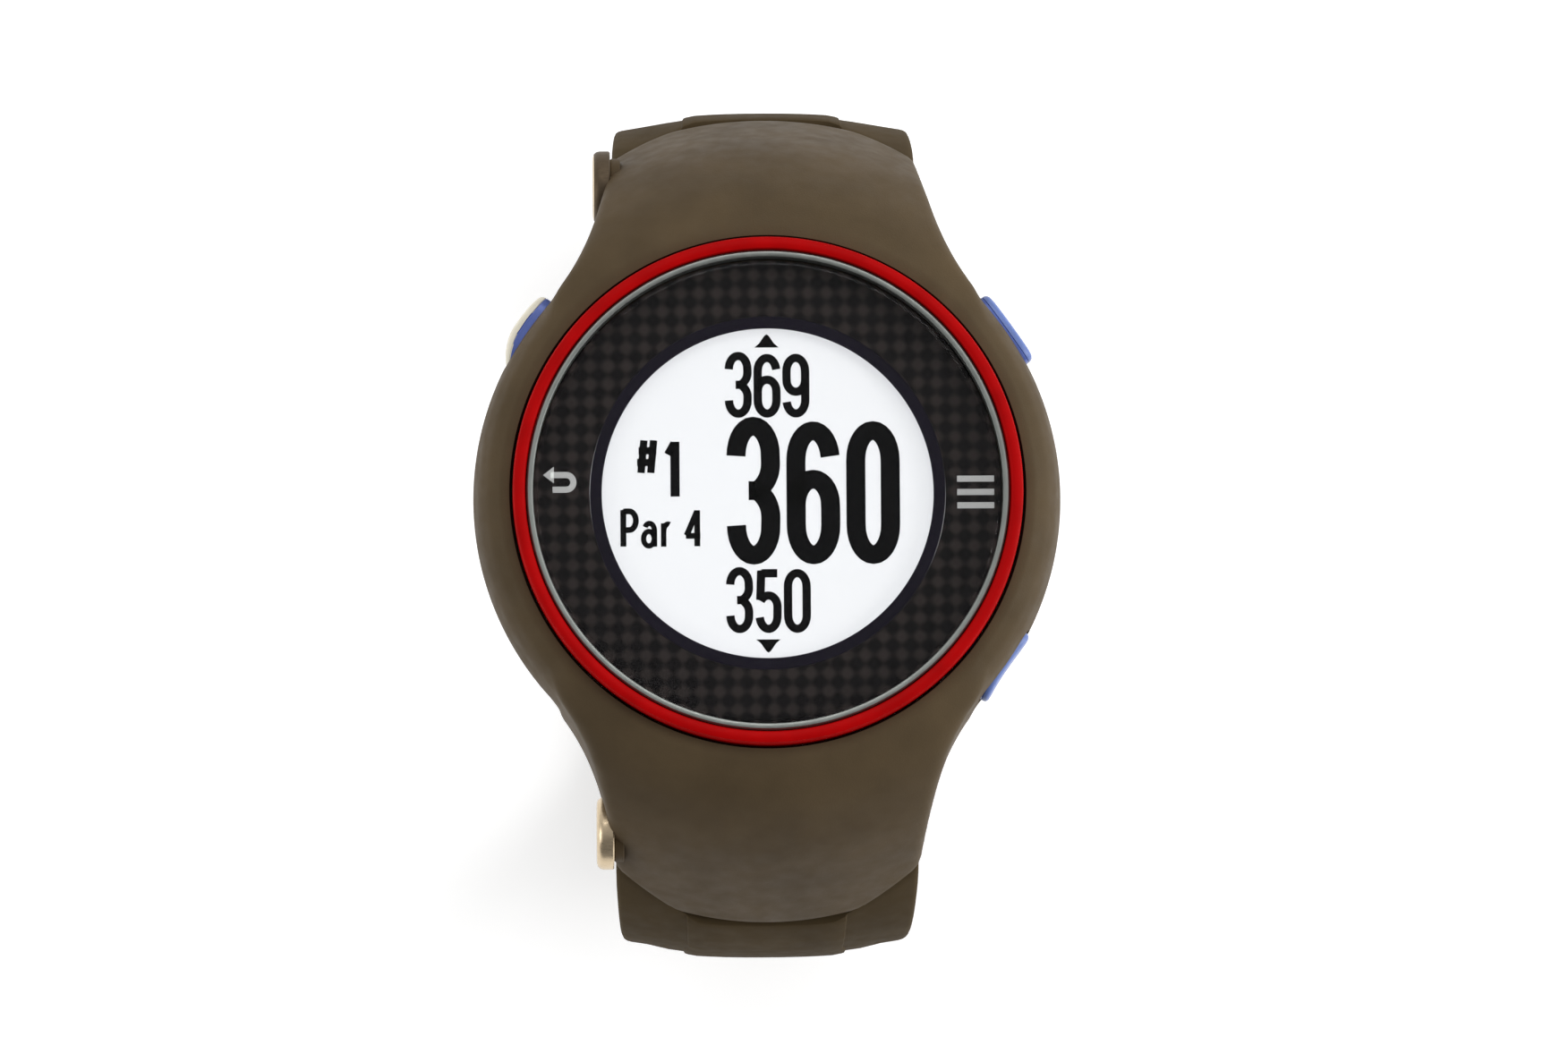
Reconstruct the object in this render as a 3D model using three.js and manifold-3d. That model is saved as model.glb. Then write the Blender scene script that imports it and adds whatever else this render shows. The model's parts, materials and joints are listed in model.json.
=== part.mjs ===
// A golf GPS watch, standing on its open rubber strap.
// Millimetres, +Z out of the glass, +Y towards 12 o'clock, +X towards 3 o'clock.
// The origin is under the dial's centre, on the surface that the strap stands on.
import * as THREE from 'three';
import { mergeVertices } from 'three/addons/utils/BufferGeometryUtils.js';
import Module from 'manifold-3d';

const wasm = await Module();
wasm.setup();

// ---- driving dimensions -------------------------------------------------------------------
const HEIGHT = 66; // floor to the top of the bezel ring
const CASE_R = 23.05; // half the width of the case
const CASE_DEPTH = 14.8; // bezel ring to the back of the rear cover
const STRAP_REACH = 33.4; // dial axis to the outermost point of each strap half
const GAP = 0.3; // kept between pieces that touch
const FINE = 64; // sides of the large round pieces

const BEZEL_R = 20;
const BEZEL_WIDTH = 1.0;
const GLASS_R = 18.1;
const TRIM_R = 18.8; // outside of the silver ring round the glass
const WINDOW_R = 13.0; // the visible round display
const CAVITY_R = 17.2;
const BOARD_R = 15.9;

const REAR_Z = HEIGHT - CASE_DEPTH;
const SHELF_Z = HEIGHT - 3.3; // ledge that carries the bezel and the dial ring
const COVER_R = 20.5;
const COVER_THICK = 1.2;
const SCREW_CIRCLE = 19.35;
const SCREW_ANGLES = [45, 135, 225, 315];

const BUTTON_Z = HEIGHT - 7;
const BUTTONS = [
  { name: 'back_button', angle: 144.8, face: 24.1 },
  { name: 'power_button', angle: 35.3, face: 23.65 },
  { name: 'menu_button', angle: -35.6, face: 23.4 },
];
const BUTTON_LENGTH = 6.3;
const BUTTON_HEIGHT = 3.2;
const STEM_R = 0.7;
const POCKET_FLOOR_R = 19.4;
const CAP_BACK_R = 20.9;
const STEM_END_R = 16.1;
const SWITCH_R = 14.5;

const PIN_Y = 25.6; // strap pins, across the hoods
const PIN_Z = HEIGHT - 13.2;
const PIN_R = 0.75;
const PIN_HEAD_R = 2.85;
const PIN_HEAD_X = -13.45;
const EYE_R = 1.85;
const HOOD_POCKET_HALF = 10.2;
const NECK_HALF = 9.9;
const FLEX_Z = HEIGHT - 24.15; // where each strap half bends

const STRAP_HALF_WIDTH = 11.9;
const STRAP_END_HALF_WIDTH = 9.8;
const TAPER_Z = 48; // the strap narrows from here down
const STRAP_THICK = 2.6;
const PANEL_HALF_WIDTH = 6.4;
const PANEL_RISE = 0.6;
const OVAL_CENTRE_Y = 11; // the strap's curve is two quarter ovals and a flat
const OVAL_CENTRE_Z = 36;
const OVAL_UPPER = 24.6;
const SKIN = 1.9; // outer face of the raised panel to the strap's centre line
const TAIL_END_Y = 4.6;
const BAR_ANGLE = 62;
const HOLE_R = 1.1;
const HOLE_PITCH = 6;
const HOLE_COUNT = 8;
const KEEPER_LENGTH = 4.5;
const KEEPER_CLEAR = 0.6;
const TAIL_ROOM = 3.4; // inside a keeper, over the strap, for the tail
const KEEPER_WALL = 1;
const KEEPER_HALF_WIDTH = 11;
const FIXED_KEEPER_BACK = 3.1; // along the strap, from the end of the buckle half
const FREE_KEEPER_BACK = 8.6;

const FRAME_LENGTH = 13.4;
const FRAME_HALF_WIDTH = 12.3;
const FRAME_RAIL = 1.8;
const FRAME_THICK = 2.0;
const FRAME_TILT = 12; // degrees below level, from the bar to the tip
const BAR_R = 0.75;
const KNUCKLE_R = 1.6;
const LOOP_R = 1.9; // the strap's end round the bar
const LOOP_SLOT = 3.2; // room in it for the tongue
const LOOP_SLOT_R = 2.6;

const CONTACT_Y = 13.5;
const CONTACT_PITCH = 3.6;
const MOTOR_Y = 9.6;

// ---- materials ----------------------------------------------------------------------------
const FINISHES = {
  housing: { color: '#5a4f40', roughness: 0.55, metalness: 0 },
  rubber: { color: '#54493a', roughness: 0.7, metalness: 0 },
  seal: { color: '#1d1d1f', roughness: 0.8, metalness: 0 },
  red_metal: { color: '#ba0a0c', roughness: 0.35, metalness: 0.4 },
  silver_metal: { color: '#969e96', roughness: 0.35, metalness: 0.9 },
  steel: { color: '#a8a8a6', roughness: 0.3, metalness: 1 },
  pin_metal: { color: '#beaa8c', roughness: 0.35, metalness: 0.9 },
  glass: { color: '#dfe7ea', roughness: 0.05, metalness: 0 },
  dial: { color: '#2a2727', roughness: 0.45, metalness: 0 },
  mask: { color: '#241e30', roughness: 0.4, metalness: 0 },
  display: { color: '#f4f5f6', roughness: 0.4, metalness: 0 },
  white_plastic: { color: '#e8e6df', roughness: 0.5, metalness: 0 },
  black_plastic: { color: '#202124', roughness: 0.6, metalness: 0 },
  board: { color: '#1f5a38', roughness: 0.5, metalness: 0 },
  ceramic: { color: '#c9bda6', roughness: 0.6, metalness: 0 },
  foil: { color: '#b9bcc0', roughness: 0.4, metalness: 0.7 },
  film: { color: '#b4762c', roughness: 0.45, metalness: 0 },
  gold: { color: '#d0a857', roughness: 0.3, metalness: 1 },
  button: { color: '#5a6bb0', roughness: 0.4, metalness: 0.1 },
};

// ---- solids -------------------------------------------------------------------------------
function toSolid(geometry) {
  geometry.deleteAttribute('normal');
  geometry.deleteAttribute('uv');
  const merged = mergeVertices(geometry, 1e-4);
  const corners = merged.attributes.position;
  const index = Array.from(merged.index.array);
  const triangles = [];
  let volume = 0;
  for (let i = 0; i < index.length; i += 3) {
    const [a, b, c] = index.slice(i, i + 3);
    if (a === b || b === c || c === a) continue;
    triangles.push([a, b, c]);
    const [p, q, r] = [a, b, c].map((n) => new THREE.Vector3().fromBufferAttribute(corners, n));
    volume += p.dot(q.cross(r));
  }
  const facing = volume < 0 ? triangles.map(([a, b, c]) => [a, c, b]) : triangles;
  return new wasm.Manifold(
    new wasm.Mesh({
      numProp: 3,
      vertProperties: new Float32Array(corners.array),
      triVerts: new Uint32Array(facing.flat()),
    }),
  );
}

function toGeometry(solid) {
  const mesh = solid.getMesh();
  const geometry = new THREE.BufferGeometry();
  geometry.setAttribute('position', new THREE.BufferAttribute(mesh.vertProperties, 3));
  geometry.setIndex(new THREE.BufferAttribute(mesh.triVerts, 1));
  geometry.computeVertexNormals();
  return geometry;
}

function outline(points) {
  return new THREE.Shape(points.map(([x, y]) => new THREE.Vector2(x, y)));
}

// A closed profile of [radius, z] points, turned about Z.
function turned(points, sides = 48) {
  const profile = [...points, points[0]].map(([r, z]) => new THREE.Vector2(r, z));
  return toSolid(new THREE.LatheGeometry(profile, sides).rotateX(Math.PI / 2));
}

function ring(inner, outer, low, high, sides = 48) {
  return turned([[inner, low], [outer, low], [outer, high], [inner, high]], sides);
}

function disc(radius, low, high, sides = 48) {
  return turned([[0, low], [radius, low], [radius, high], [0, high]], sides);
}

// Turns an extrusion along Z into one along X, with its outline's x and y as y and z.
const ONTO_X = new THREE.Matrix4().makeBasis(
  new THREE.Vector3(0, 1, 0),
  new THREE.Vector3(0, 0, 1),
  new THREE.Vector3(1, 0, 0),
);

// A [y, z] outline, from -half to half along X.
function alongX(points, half) {
  const geometry = new THREE.ExtrudeGeometry(outline(points), { depth: 2 * half, bevelEnabled: false });
  return toSolid(geometry.translate(0, 0, -half).applyMatrix4(ONTO_X));
}

// An [x, z] outline, from low to high along Y.
function alongY(points, low, high) {
  const geometry = new THREE.ExtrudeGeometry(outline(points), { depth: high - low, bevelEnabled: false });
  return toSolid(geometry.rotateX(Math.PI / 2).translate(0, high, 0));
}

// An [x, y] outline, from low to high along Z.
function alongZ(points, low, high) {
  const geometry = new THREE.ExtrudeGeometry(outline(points), { depth: high - low, bevelEnabled: false });
  return toSolid(geometry.translate(0, 0, low));
}

function block(width, length, height, x = 0, y = 0, z = 0) {
  return toSolid(new THREE.BoxGeometry(width, length, height).translate(x, y, z));
}

// A rod along X, from one end to the other.
function rodX(radius, from, to, y = 0, z = 0, sides = 24) {
  const geometry = new THREE.CylinderGeometry(radius, radius, to - from, sides);
  return toSolid(geometry.rotateZ(-Math.PI / 2).translate((from + to) / 2, y, z));
}

function roundedBox(width, length, radius) {
  const corners = [];
  for (const [sx, sy, start] of [[1, 1, 0], [-1, 1, 90], [-1, -1, 180], [1, -1, 270]]) {
    for (const step of [0, 30, 60, 90]) {
      const turn = THREE.MathUtils.degToRad(start + step);
      const x = sx * (width / 2 - radius) + radius * Math.cos(turn);
      corners.push([x, sy * (length / 2 - radius) + radius * Math.sin(turn)]);
    }
  }
  return corners;
}

function mirrored(solid, side) {
  return side > 0 ? solid : solid.mirror([0, 1, 0]);
}

// A section of [across, outward] points, carried along a path in the YZ plane.
function swept(section, path, steps) {
  return toSolid(new THREE.ExtrudeGeometry(outline(section), { steps, extrudePath: path }));
}

// ---- scene --------------------------------------------------------------------------------
const watch = new THREE.Group();

function add(name, solid, finish, parent = watch) {
  const mesh = new THREE.Mesh(toGeometry(solid), new THREE.MeshStandardMaterial(FINISHES[finish]));
  mesh.name = name;
  parent.add(mesh);
}

// ---- case ---------------------------------------------------------------------------------
// The hoods' outer face, as [radius, depth below the bezel], and their inner face under it.
const HOOD_OUTER = [
  [18, 1.3], [20.9, 1.4], [23.1, 2.5], [25.4, 4.7], [28.1, 9], [30.5, 16], [32.1, 22], [32.9, 26],
];
const HOOD_INNER = [[18, 3.4], [23.6, 5.3], [26.6, 9.9], [28.9, 16.5], [30.5, 22.3], [31.5, 30]];

function dome(face) {
  const deepest = face[face.length - 1][1];
  const skin = face.map(([r, depth]) => [r, HEIGHT - depth]);
  return turned([[0, HEIGHT - deepest], ...skin.reverse(), [0, HEIGHT - face[0][1]]], FINE);
}

// Plan of one hood: the sides draw in towards the strap in a shallow waist.
function hoodPlan() {
  const waist = new THREE.SplineCurve(
    [[18.8, 12.5], [15, 18.4], [13.4, 22.2], [12.5, 25.8], [12.1, 28.8], [11.9, 34]].map(
      ([x, y]) => new THREE.Vector2(x, y),
    ),
  );
  const right = waist.getPoints(14).map((p) => [p.x, p.y]);
  const left = right.map(([x, y]) => [-x, y]).reverse();
  return alongZ([...right, ...left], HEIGHT - 28, HEIGHT);
}

// Everything below the seam between a hood and the strap: flat in the middle, then straight up.
function seamCut(slack) {
  const line = [[20, 8.4], [11.7, 16.4], [6.3, 21.5], [5, 22.2]];
  const right = line.map(([x, depth]) => [x, HEIGHT - depth - slack]);
  const left = right.map(([x, z]) => [-x, z]).reverse();
  return alongY([[-20, 20], [20, 20], ...right, ...left], 22, 40);
}

function hood() {
  const under = [[10, 14.8], [21.3, 14.8], [25.4, 17.4], [28.2, 22.2], [28.2, 30], [10, 30]];
  const pocket = [[22.5, 8.6], [24.9, 4], [34, 4], [34, 30], [22.5, 30]];
  const below = ([y, depth]) => [y, HEIGHT - depth];
  const room = alongX(pocket.map(below), HOOD_POCKET_HALF).intersect(dome(HOOD_INNER));
  return dome(HOOD_OUTER)
    .intersect(hoodPlan())
    .subtract(alongX(under.map(below), 25))
    .subtract(room)
    .subtract(seamCut(0))
    .subtract(rodX(PIN_HEAD_R + GAP, -20, -11.8, PIN_Y, PIN_Z))
    .subtract(rodX(PIN_R + GAP, -20, 20, PIN_Y, PIN_Z));
}

function buttonRoom() {
  const slot = roundedBox(BUTTON_LENGTH + 2 * GAP, BUTTON_HEIGHT + 2 * GAP, 1.5);
  const cap = new THREE.ExtrudeGeometry(outline(slot), { depth: 5, bevelEnabled: false });
  return toSolid(cap.applyMatrix4(ONTO_X).translate(POCKET_FLOOR_R, 0, 0))
    .add(rodX(2, 17.9, POCKET_FLOOR_R + 1))
    .add(rodX(STEM_R + 0.45, CAVITY_R - 1, 19));
}

function topHousing() {
  const flank = turned([
    [CAVITY_R - 1, REAR_Z],
    [21.55, REAR_Z],
    [22.1, REAR_Z + 2.3],
    [22.8, REAR_Z + 4.8],
    [CASE_R, BUTTON_Z],
    [22.7, HEIGHT - 4],
    [21.95, HEIGHT - 2.3],
    [20.9, HEIGHT - 1.3],
    [CAVITY_R - 1, HEIGHT - 1.3],
  ], FINE);
  const room = disc(CAVITY_R, REAR_Z - 1, HEIGHT, FINE)
    .add(disc(BEZEL_R + GAP, SHELF_Z, HEIGHT + 1, FINE))
    .add(disc(COVER_R + GAP, REAR_Z - 1, REAR_Z + COVER_THICK + GAP, FINE))
    .add(disc(18.4, REAR_Z, REAR_Z + COVER_THICK + 0.9, FINE));
  let body = flank.add(hood()).add(mirrored(hood(), -1)).subtract(room);
  for (const { angle } of BUTTONS) {
    body = body.subtract(buttonRoom().rotate([0, 0, angle]).translate([0, 0, BUTTON_Z]));
  }
  for (const angle of SCREW_ANGLES) {
    const hole = disc(0.9, REAR_Z, REAR_Z + 4.8, 16);
    body = body.subtract(hole.translate([SCREW_CIRCLE, 0, 0]).rotate([0, 0, angle]));
  }
  return body;
}

function rearCover() {
  const contactHole = disc(1.2, REAR_Z - 1, REAR_Z + 3, 20);
  let cover = disc(COVER_R, REAR_Z, REAR_Z + COVER_THICK, FINE);
  for (const x of contactPlaces()) cover = cover.subtract(contactHole.translate([x, CONTACT_Y, 0]));
  for (const angle of SCREW_ANGLES) {
    const hole = disc(0.9, REAR_Z - 1, REAR_Z + 3, 16).add(disc(1.4, REAR_Z - 1, REAR_Z + 0.8, 20));
    cover = cover.subtract(hole.translate([SCREW_CIRCLE, 0, 0]).rotate([0, 0, angle]));
  }
  return cover;
}

function contactPlaces() {
  return [-1.5, -0.5, 0.5, 1.5].map((n) => n * CONTACT_PITCH);
}

function rearScrew() {
  const head = disc(1.1, REAR_Z + 0.1, REAR_Z + 0.5, 20);
  const slot = block(3, 0.3, 0.4, 0, 0, REAR_Z + 0.1);
  return head.subtract(slot).add(disc(0.6, REAR_Z + 0.4, REAR_Z + 4.4, 14));
}

add('top_housing', topHousing(), 'housing');
add('rear_cover', rearCover(), 'housing');
add('rear_gasket', ring(17.5, 18.1, REAR_Z + 1.5, REAR_Z + 1.9), 'seal');
SCREW_ANGLES.forEach((angle, n) => {
  const screw = rearScrew().translate([SCREW_CIRCLE, 0, 0]).rotate([0, 0, angle]);
  add(`rear_screw_${n + 1}`, screw, 'steel');
});
contactPlaces().forEach((x, n) => {
  const pad = disc(0.9, REAR_Z, REAR_Z + 1.4, 20).translate([x, CONTACT_Y, 0]);
  add(`charge_contact_${n + 1}`, pad, 'gold');
});

// ---- front: bezel, glass, dial and display ------------------------------------------------
add('bezel_ring', turned([
  [BEZEL_R - BEZEL_WIDTH, SHELF_Z + GAP],
  [BEZEL_R, SHELF_Z + GAP],
  [BEZEL_R, HEIGHT - 0.3],
  [BEZEL_R - 0.3, HEIGHT],
  [BEZEL_R - BEZEL_WIDTH + 0.25, HEIGHT],
  [BEZEL_R - BEZEL_WIDTH, HEIGHT - 0.25],
], FINE), 'red_metal');
add('silver_ring', ring(TRIM_R - 0.4, TRIM_R, HEIGHT - 1.6, HEIGHT - 0.1, FINE), 'silver_metal');
add('glass', turned([
  [0, HEIGHT - 1.5],
  [GLASS_R, HEIGHT - 1.5],
  [GLASS_R, HEIGHT - 0.55],
  [GLASS_R - 0.35, HEIGHT - 0.25],
  [0, HEIGHT - 0.25],
], FINE), 'glass');
add('touch_panel', disc(18, HEIGHT - 2.1, HEIGHT - 1.8, FINE), 'glass');
add('dial_ring', ring(14.2, 18.2, HEIGHT - 3, HEIGHT - 2.4, FINE), 'dial');
add('display_mask', ring(WINDOW_R, 13.9, HEIGHT - 3, HEIGHT - 2.4, FINE), 'mask');
add('display_panel', disc(14.6, HEIGHT - 4.6, HEIGHT - 3.3, FINE), 'display');
add('backlight_plate', disc(14.2, HEIGHT - 5.6, HEIGHT - 4.9, 48), 'white_plastic');
const flexNotch = block(2.8, 1.8, 30, 0, -15.6, HEIGHT - 8);
add('inner_frame', ring(15, 16.9, HEIGHT - 4.7, SHELF_Z - 0.1).subtract(flexNotch), 'black_plastic');

// ---- electronics --------------------------------------------------------------------------
const BOARD_TOP = HEIGHT - 8.4;
const BOARD_LOW = BOARD_TOP - 1;
add('main_board', disc(BOARD_R, BOARD_LOW, BOARD_TOP).subtract(flexNotch), 'board');
add('gps_antenna', block(11, 11, 2, 0, -4, BOARD_TOP + GAP + 1), 'ceramic');
add('shield_can', block(13, 6.5, 1.5, 0, 8, BOARD_TOP + GAP + 0.75), 'foil');
const cell = alongZ(roundedBox(21, 16, 1.5), REAR_Z + 1.8, BOARD_LOW - GAP);
add('battery', cell.translate([0, -4.5, 0]), 'foil');
add('display_flex', alongX([
  [-15.6, HEIGHT - 4],
  [-15.3, HEIGHT - 4],
  [-15.3, HEIGHT - 9.6],
  [-13.2, HEIGHT - 9.6],
  [-13.2, HEIGHT - 9.9],
  [-15.6, HEIGHT - 9.9],
], 1), 'film');

const MOTOR_Z = BOARD_LOW - GAP - 1.8;
add('vibration_motor', rodX(1.7, -7, 0, MOTOR_Y, MOTOR_Z)
  .add(rodX(0.35, -0.5, 4.2, MOTOR_Y, MOTOR_Z, 12)), 'steel');
// The weight is most of a half disc, with a bore that runs on the motor's shaft.
function motorWeight() {
  const sweep = [[0, 0]];
  for (let turn = 0; turn <= 180; turn += 20) {
    const angle = THREE.MathUtils.degToRad(turn + 180);
    sweep.push([1.6 * Math.cos(angle), 1.6 * Math.sin(angle)]);
  }
  const half = alongX(sweep.slice(1), 1.4).add(rodX(0.85, -1.4, 1.4, 0, 0, 16));
  return half.subtract(rodX(0.4, -3, 3, 0, 0, 12)).translate([2.3, MOTOR_Y, MOTOR_Z]);
}
add('motor_weight', motorWeight(), 'steel');

// ---- side buttons -------------------------------------------------------------------------
class Helix extends THREE.Curve {
  constructor(radius, length, turns) {
    super();
    Object.assign(this, { radius, length, turns });
  }

  getPoint(t, target = new THREE.Vector3()) {
    const angle = 2 * Math.PI * this.turns * t;
    return target.set(this.length * t, this.radius * Math.cos(angle), this.radius * Math.sin(angle));
  }
}

function buttonCap(faceR) {
  const bevel = 0.3;
  const plan = roundedBox(BUTTON_LENGTH - 2 * bevel, BUTTON_HEIGHT - 2 * bevel, 1.2);
  const cap = new THREE.ExtrudeGeometry(outline(plan), {
    depth: faceR - CAP_BACK_R - bevel,
    bevelThickness: bevel,
    bevelSize: bevel,
    bevelSegments: 2,
  });
  return toSolid(cap.applyMatrix4(ONTO_X).translate(CAP_BACK_R, 0, 0))
    .add(rodX(STEM_R, STEM_END_R, CAP_BACK_R + 0.5));
}

for (const { name, angle, face } of BUTTONS) {
  const place = new THREE.Group();
  place.rotation.z = THREE.MathUtils.degToRad(angle);
  place.position.z = BUTTON_Z;
  watch.add(place);
  const spring = swept([[0.12, 0], [0, 0.12], [-0.12, 0], [0, -0.12]], new Helix(1.3, 0.75, 2.5), 30);
  const seal = rodX(1.7, 18.2, 19.1).subtract(rodX(1, 17, 20));
  const clip = rodX(1.9, 16.55, 16.85).subtract(rodX(1, 16, 17)).subtract(block(1, 1.4, 3, 16.7, 0, -1.6));
  add(name, buttonCap(face), 'button', place);
  add(`${name}_seal`, seal, 'seal', place);
  add(`${name}_spring`, spring.translate([19.7, 0, 0]), 'steel', place);
  add(`${name}_clip`, clip, 'steel', place);
  add(`${name}_switch`, block(1.3, 3.2, 2, SWITCH_R), 'black_plastic', place);
}

// ---- strap --------------------------------------------------------------------------------
// The strap's centre line, in [y, z] at an angle round the lower quarter oval.
function lowerOval(degrees) {
  const angle = THREE.MathUtils.degToRad(degrees);
  const y = OVAL_CENTRE_Y + (STRAP_REACH - SKIN - OVAL_CENTRE_Y) * Math.cos(angle);
  return [y, OVAL_CENTRE_Z - (OVAL_CENTRE_Z - SKIN) * Math.sin(angle)];
}

function upperOval(z) {
  const share = (z - OVAL_CENTRE_Z) / (OVAL_UPPER - SKIN);
  return [OVAL_CENTRE_Y + (STRAP_REACH - SKIN - OVAL_CENTRE_Y) * Math.sqrt(1 - share * share), z];
}

function strapPath(points) {
  return new THREE.CatmullRomCurve3(points.map(([y, z]) => new THREE.Vector3(0, y, z)));
}

// Section: flat inside, a little domed outside, with a raised panel down the middle.
function strapSection() {
  const half = STRAP_HALF_WIDTH;
  const low = -STRAP_THICK / 2;
  const top = STRAP_THICK / 2;
  const right = [
    [half, low],
    [half, top - 0.9],
    [half - 0.8, top - 0.2],
    [PANEL_HALF_WIDTH, top],
    [PANEL_HALF_WIDTH - 0.5, top + PANEL_RISE],
  ];
  const left = right.map(([x, v]) => [-x, v]).reverse();
  return [...right, ...left];
}

function taper() {
  return alongY([
    [STRAP_END_HALF_WIDTH, 0],
    [STRAP_HALF_WIDTH, TAPER_Z],
    [STRAP_HALF_WIDTH, HEIGHT],
    [-STRAP_HALF_WIDTH, HEIGHT],
    [-STRAP_HALF_WIDTH, TAPER_Z],
    [-STRAP_END_HALF_WIDTH, 0],
  ], -50, 50);
}

const bandStart = [FLEX_Z - 0.15, FLEX_Z - 2.5];
const wholeOval = [];
for (let angle = 0; angle <= 90; angle += 7.5) wholeOval.push(lowerOval(angle));
const tailPath = strapPath([
  ...bandStart.map(upperOval),
  ...wholeOval,
  [OVAL_CENTRE_Y / 2, SKIN],
  [0, SKIN],
  [-TAIL_END_Y, SKIN],
]);
const bucklePath = strapPath([
  ...bandStart.map(upperOval),
  ...[0, 7.5, 15, 22.5, 30, 37.5, 45, 52.5, BAR_ANGLE - 3].map(lowerOval),
]);

// Takes a solid made about the origin, with outward along -Z and onward along -Y, to the path.
function ontoPath(solid, path, share) {
  const at = path.getPointAt(share);
  const along = path.getTangentAt(share);
  const turn = THREE.MathUtils.radToDeg(Math.atan2(-along.z, -along.y));
  return solid.rotate([turn, 0, 0]).translate([0, at.y, at.z]);
}

function strapBand(path, steps) {
  return swept(strapSection(), path, steps).intersect(taper());
}

function tailBand() {
  const length = tailPath.getLength();
  let band = strapBand(tailPath, 40);
  for (let n = 0; n < HOLE_COUNT; n += 1) {
    const hole = disc(HOLE_R, -5, 5, 14);
    band = band.subtract(ontoPath(hole, tailPath, 1 - (9 + n * HOLE_PITCH) / length));
  }
  const right = [[20, 60], [20, 3.5], [9.2, 1.5], [8, -1.6], [4.5, -TAIL_END_Y + 0.4]];
  const left = right.map(([x, y]) => [-x, y]).reverse();
  return band.intersect(alongZ([...right, [0, -TAIL_END_Y], ...left], -5, HEIGHT));
}

const BAR = lowerOval(BAR_ANGLE);

function buckleBand() {
  const [y, z] = BAR;
  return strapBand(bucklePath, 36)
    .subtract(rodX(LOOP_R - 0.1, -20, 20, y, z))
    .add(rodX(LOOP_R, -STRAP_END_HALF_WIDTH, STRAP_END_HALF_WIDTH, y, z))
    .subtract(rodX(BAR_R + GAP, -20, 20, y, z))
    .subtract(rodX(LOOP_SLOT_R, -LOOP_SLOT / 2, LOOP_SLOT / 2, y, z));
}

// The fixed end of each strap half: an eye on the pin, a neck in the hood and a shoulder below it.
function strapRoot() {
  const shoulderPath = strapPath([52, 48, 45, FLEX_Z + 0.15].map(upperOval));
  const shoulder = swept(strapSection(), shoulderPath, 14).intersect(seamCut(GAP)).intersect(taper());
  const neckPath = strapPath([
    [26, HEIGHT - 14.6],
    [27, HEIGHT - 17.5],
    [28.4, HEIGHT - 22.3],
    [29.1, FLEX_Z + 0.5],
  ]);
  const neckSection = [[-NECK_HALF, -1.1], [NECK_HALF, -1.1], [NECK_HALF, 1.1], [-NECK_HALF, 1.1]];
  const inside = dome(HOOD_INNER.map(([r, depth]) => [r - GAP, depth]));
  return swept(neckSection, neckPath, 10)
    .add(rodX(EYE_R, -4, 4, PIN_Y, PIN_Z))
    .add(block(8, 2, 3, 0, PIN_Y + 0.3, PIN_Z - 1.6))
    .intersect(inside)
    .add(shoulder)
    .subtract(rodX(PIN_R + GAP, -20, 20, PIN_Y, PIN_Z));
}

// A screw pin with a broad slotted head on the 9 o'clock side.
function strapPin() {
  const head = rodX(PIN_HEAD_R, PIN_HEAD_X, -12.1, PIN_Y, PIN_Z, 32);
  const slot = block(1, 4, 0.6, PIN_HEAD_X, PIN_Y, PIN_Z);
  return head.subtract(slot).add(rodX(PIN_R, -12.3, 11, PIN_Y, PIN_Z, 20));
}

for (const [side, name] of [[1, 'upper'], [-1, 'lower']]) {
  add(`${name}_strap_root`, mirrored(strapRoot(), side), 'rubber');
  add(`${name}_strap_pin`, mirrored(strapPin(), side), 'pin_metal');
}
add('lower_strap_band', mirrored(tailBand(), -1), 'rubber');
add('upper_strap_band', buckleBand(), 'rubber');

// ---- buckle and keepers -------------------------------------------------------------------
// Made about the bar, with the tip towards -Y, then tilted.
const buckle = new THREE.Group();
buckle.position.set(0, BAR[0], BAR[1]);
buckle.rotation.x = THREE.MathUtils.degToRad(FRAME_TILT);
watch.add(buckle);

function buckleFrame() {
  const inner = FRAME_HALF_WIDTH - FRAME_RAIL;
  const plate = alongZ([
    [FRAME_HALF_WIDTH, 0],
    [FRAME_HALF_WIDTH, -FRAME_LENGTH + 2],
    [FRAME_HALF_WIDTH - 2, -FRAME_LENGTH],
    [-FRAME_HALF_WIDTH + 2, -FRAME_LENGTH],
    [-FRAME_HALF_WIDTH, -FRAME_LENGTH + 2],
    [-FRAME_HALF_WIDTH, 0],
  ], -FRAME_THICK / 2, FRAME_THICK / 2);
  const window = block(2 * inner, 2 * (FRAME_LENGTH - FRAME_RAIL), 10);
  return plate
    .add(rodX(KNUCKLE_R, -FRAME_HALF_WIDTH, FRAME_HALF_WIDTH))
    .subtract(window)
    .subtract(rodX(BAR_R + GAP, -20, 20));
}

function buckleTongue() {
  const halfThick = 0.5;
  const drop = FRAME_THICK / 2 + GAP + halfThick;
  const tip = -FRAME_LENGTH - 0.1;
  const blade = alongX([[0, 0.6], [0, -0.6], [tip, -drop - halfThick], [tip, -drop + halfThick]], 0.95);
  return blade.add(rodX(KNUCKLE_R, -1.2, 1.2)).subtract(rodX(BAR_R + GAP, -5, 5));
}

// A loop round the buckle half, with room on its outer side for the tail.
function keeper() {
  const low = -SKIN - TAIL_ROOM;
  const high = STRAP_THICK / 2 + KEEPER_CLEAR;
  const half = KEEPER_HALF_WIDTH;
  const middle = ([x, z]) => [x, z + (low + high) / 2];
  const inner = roundedBox(2 * half, high - low, 0.6).map(middle);
  const outer = roundedBox(2 * (half + KEEPER_WALL), high - low + 2 * KEEPER_WALL, 1.4).map(middle);
  return alongY(outer, -KEEPER_LENGTH / 2, KEEPER_LENGTH / 2).subtract(alongY(inner, -5, 5));
}

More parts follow.
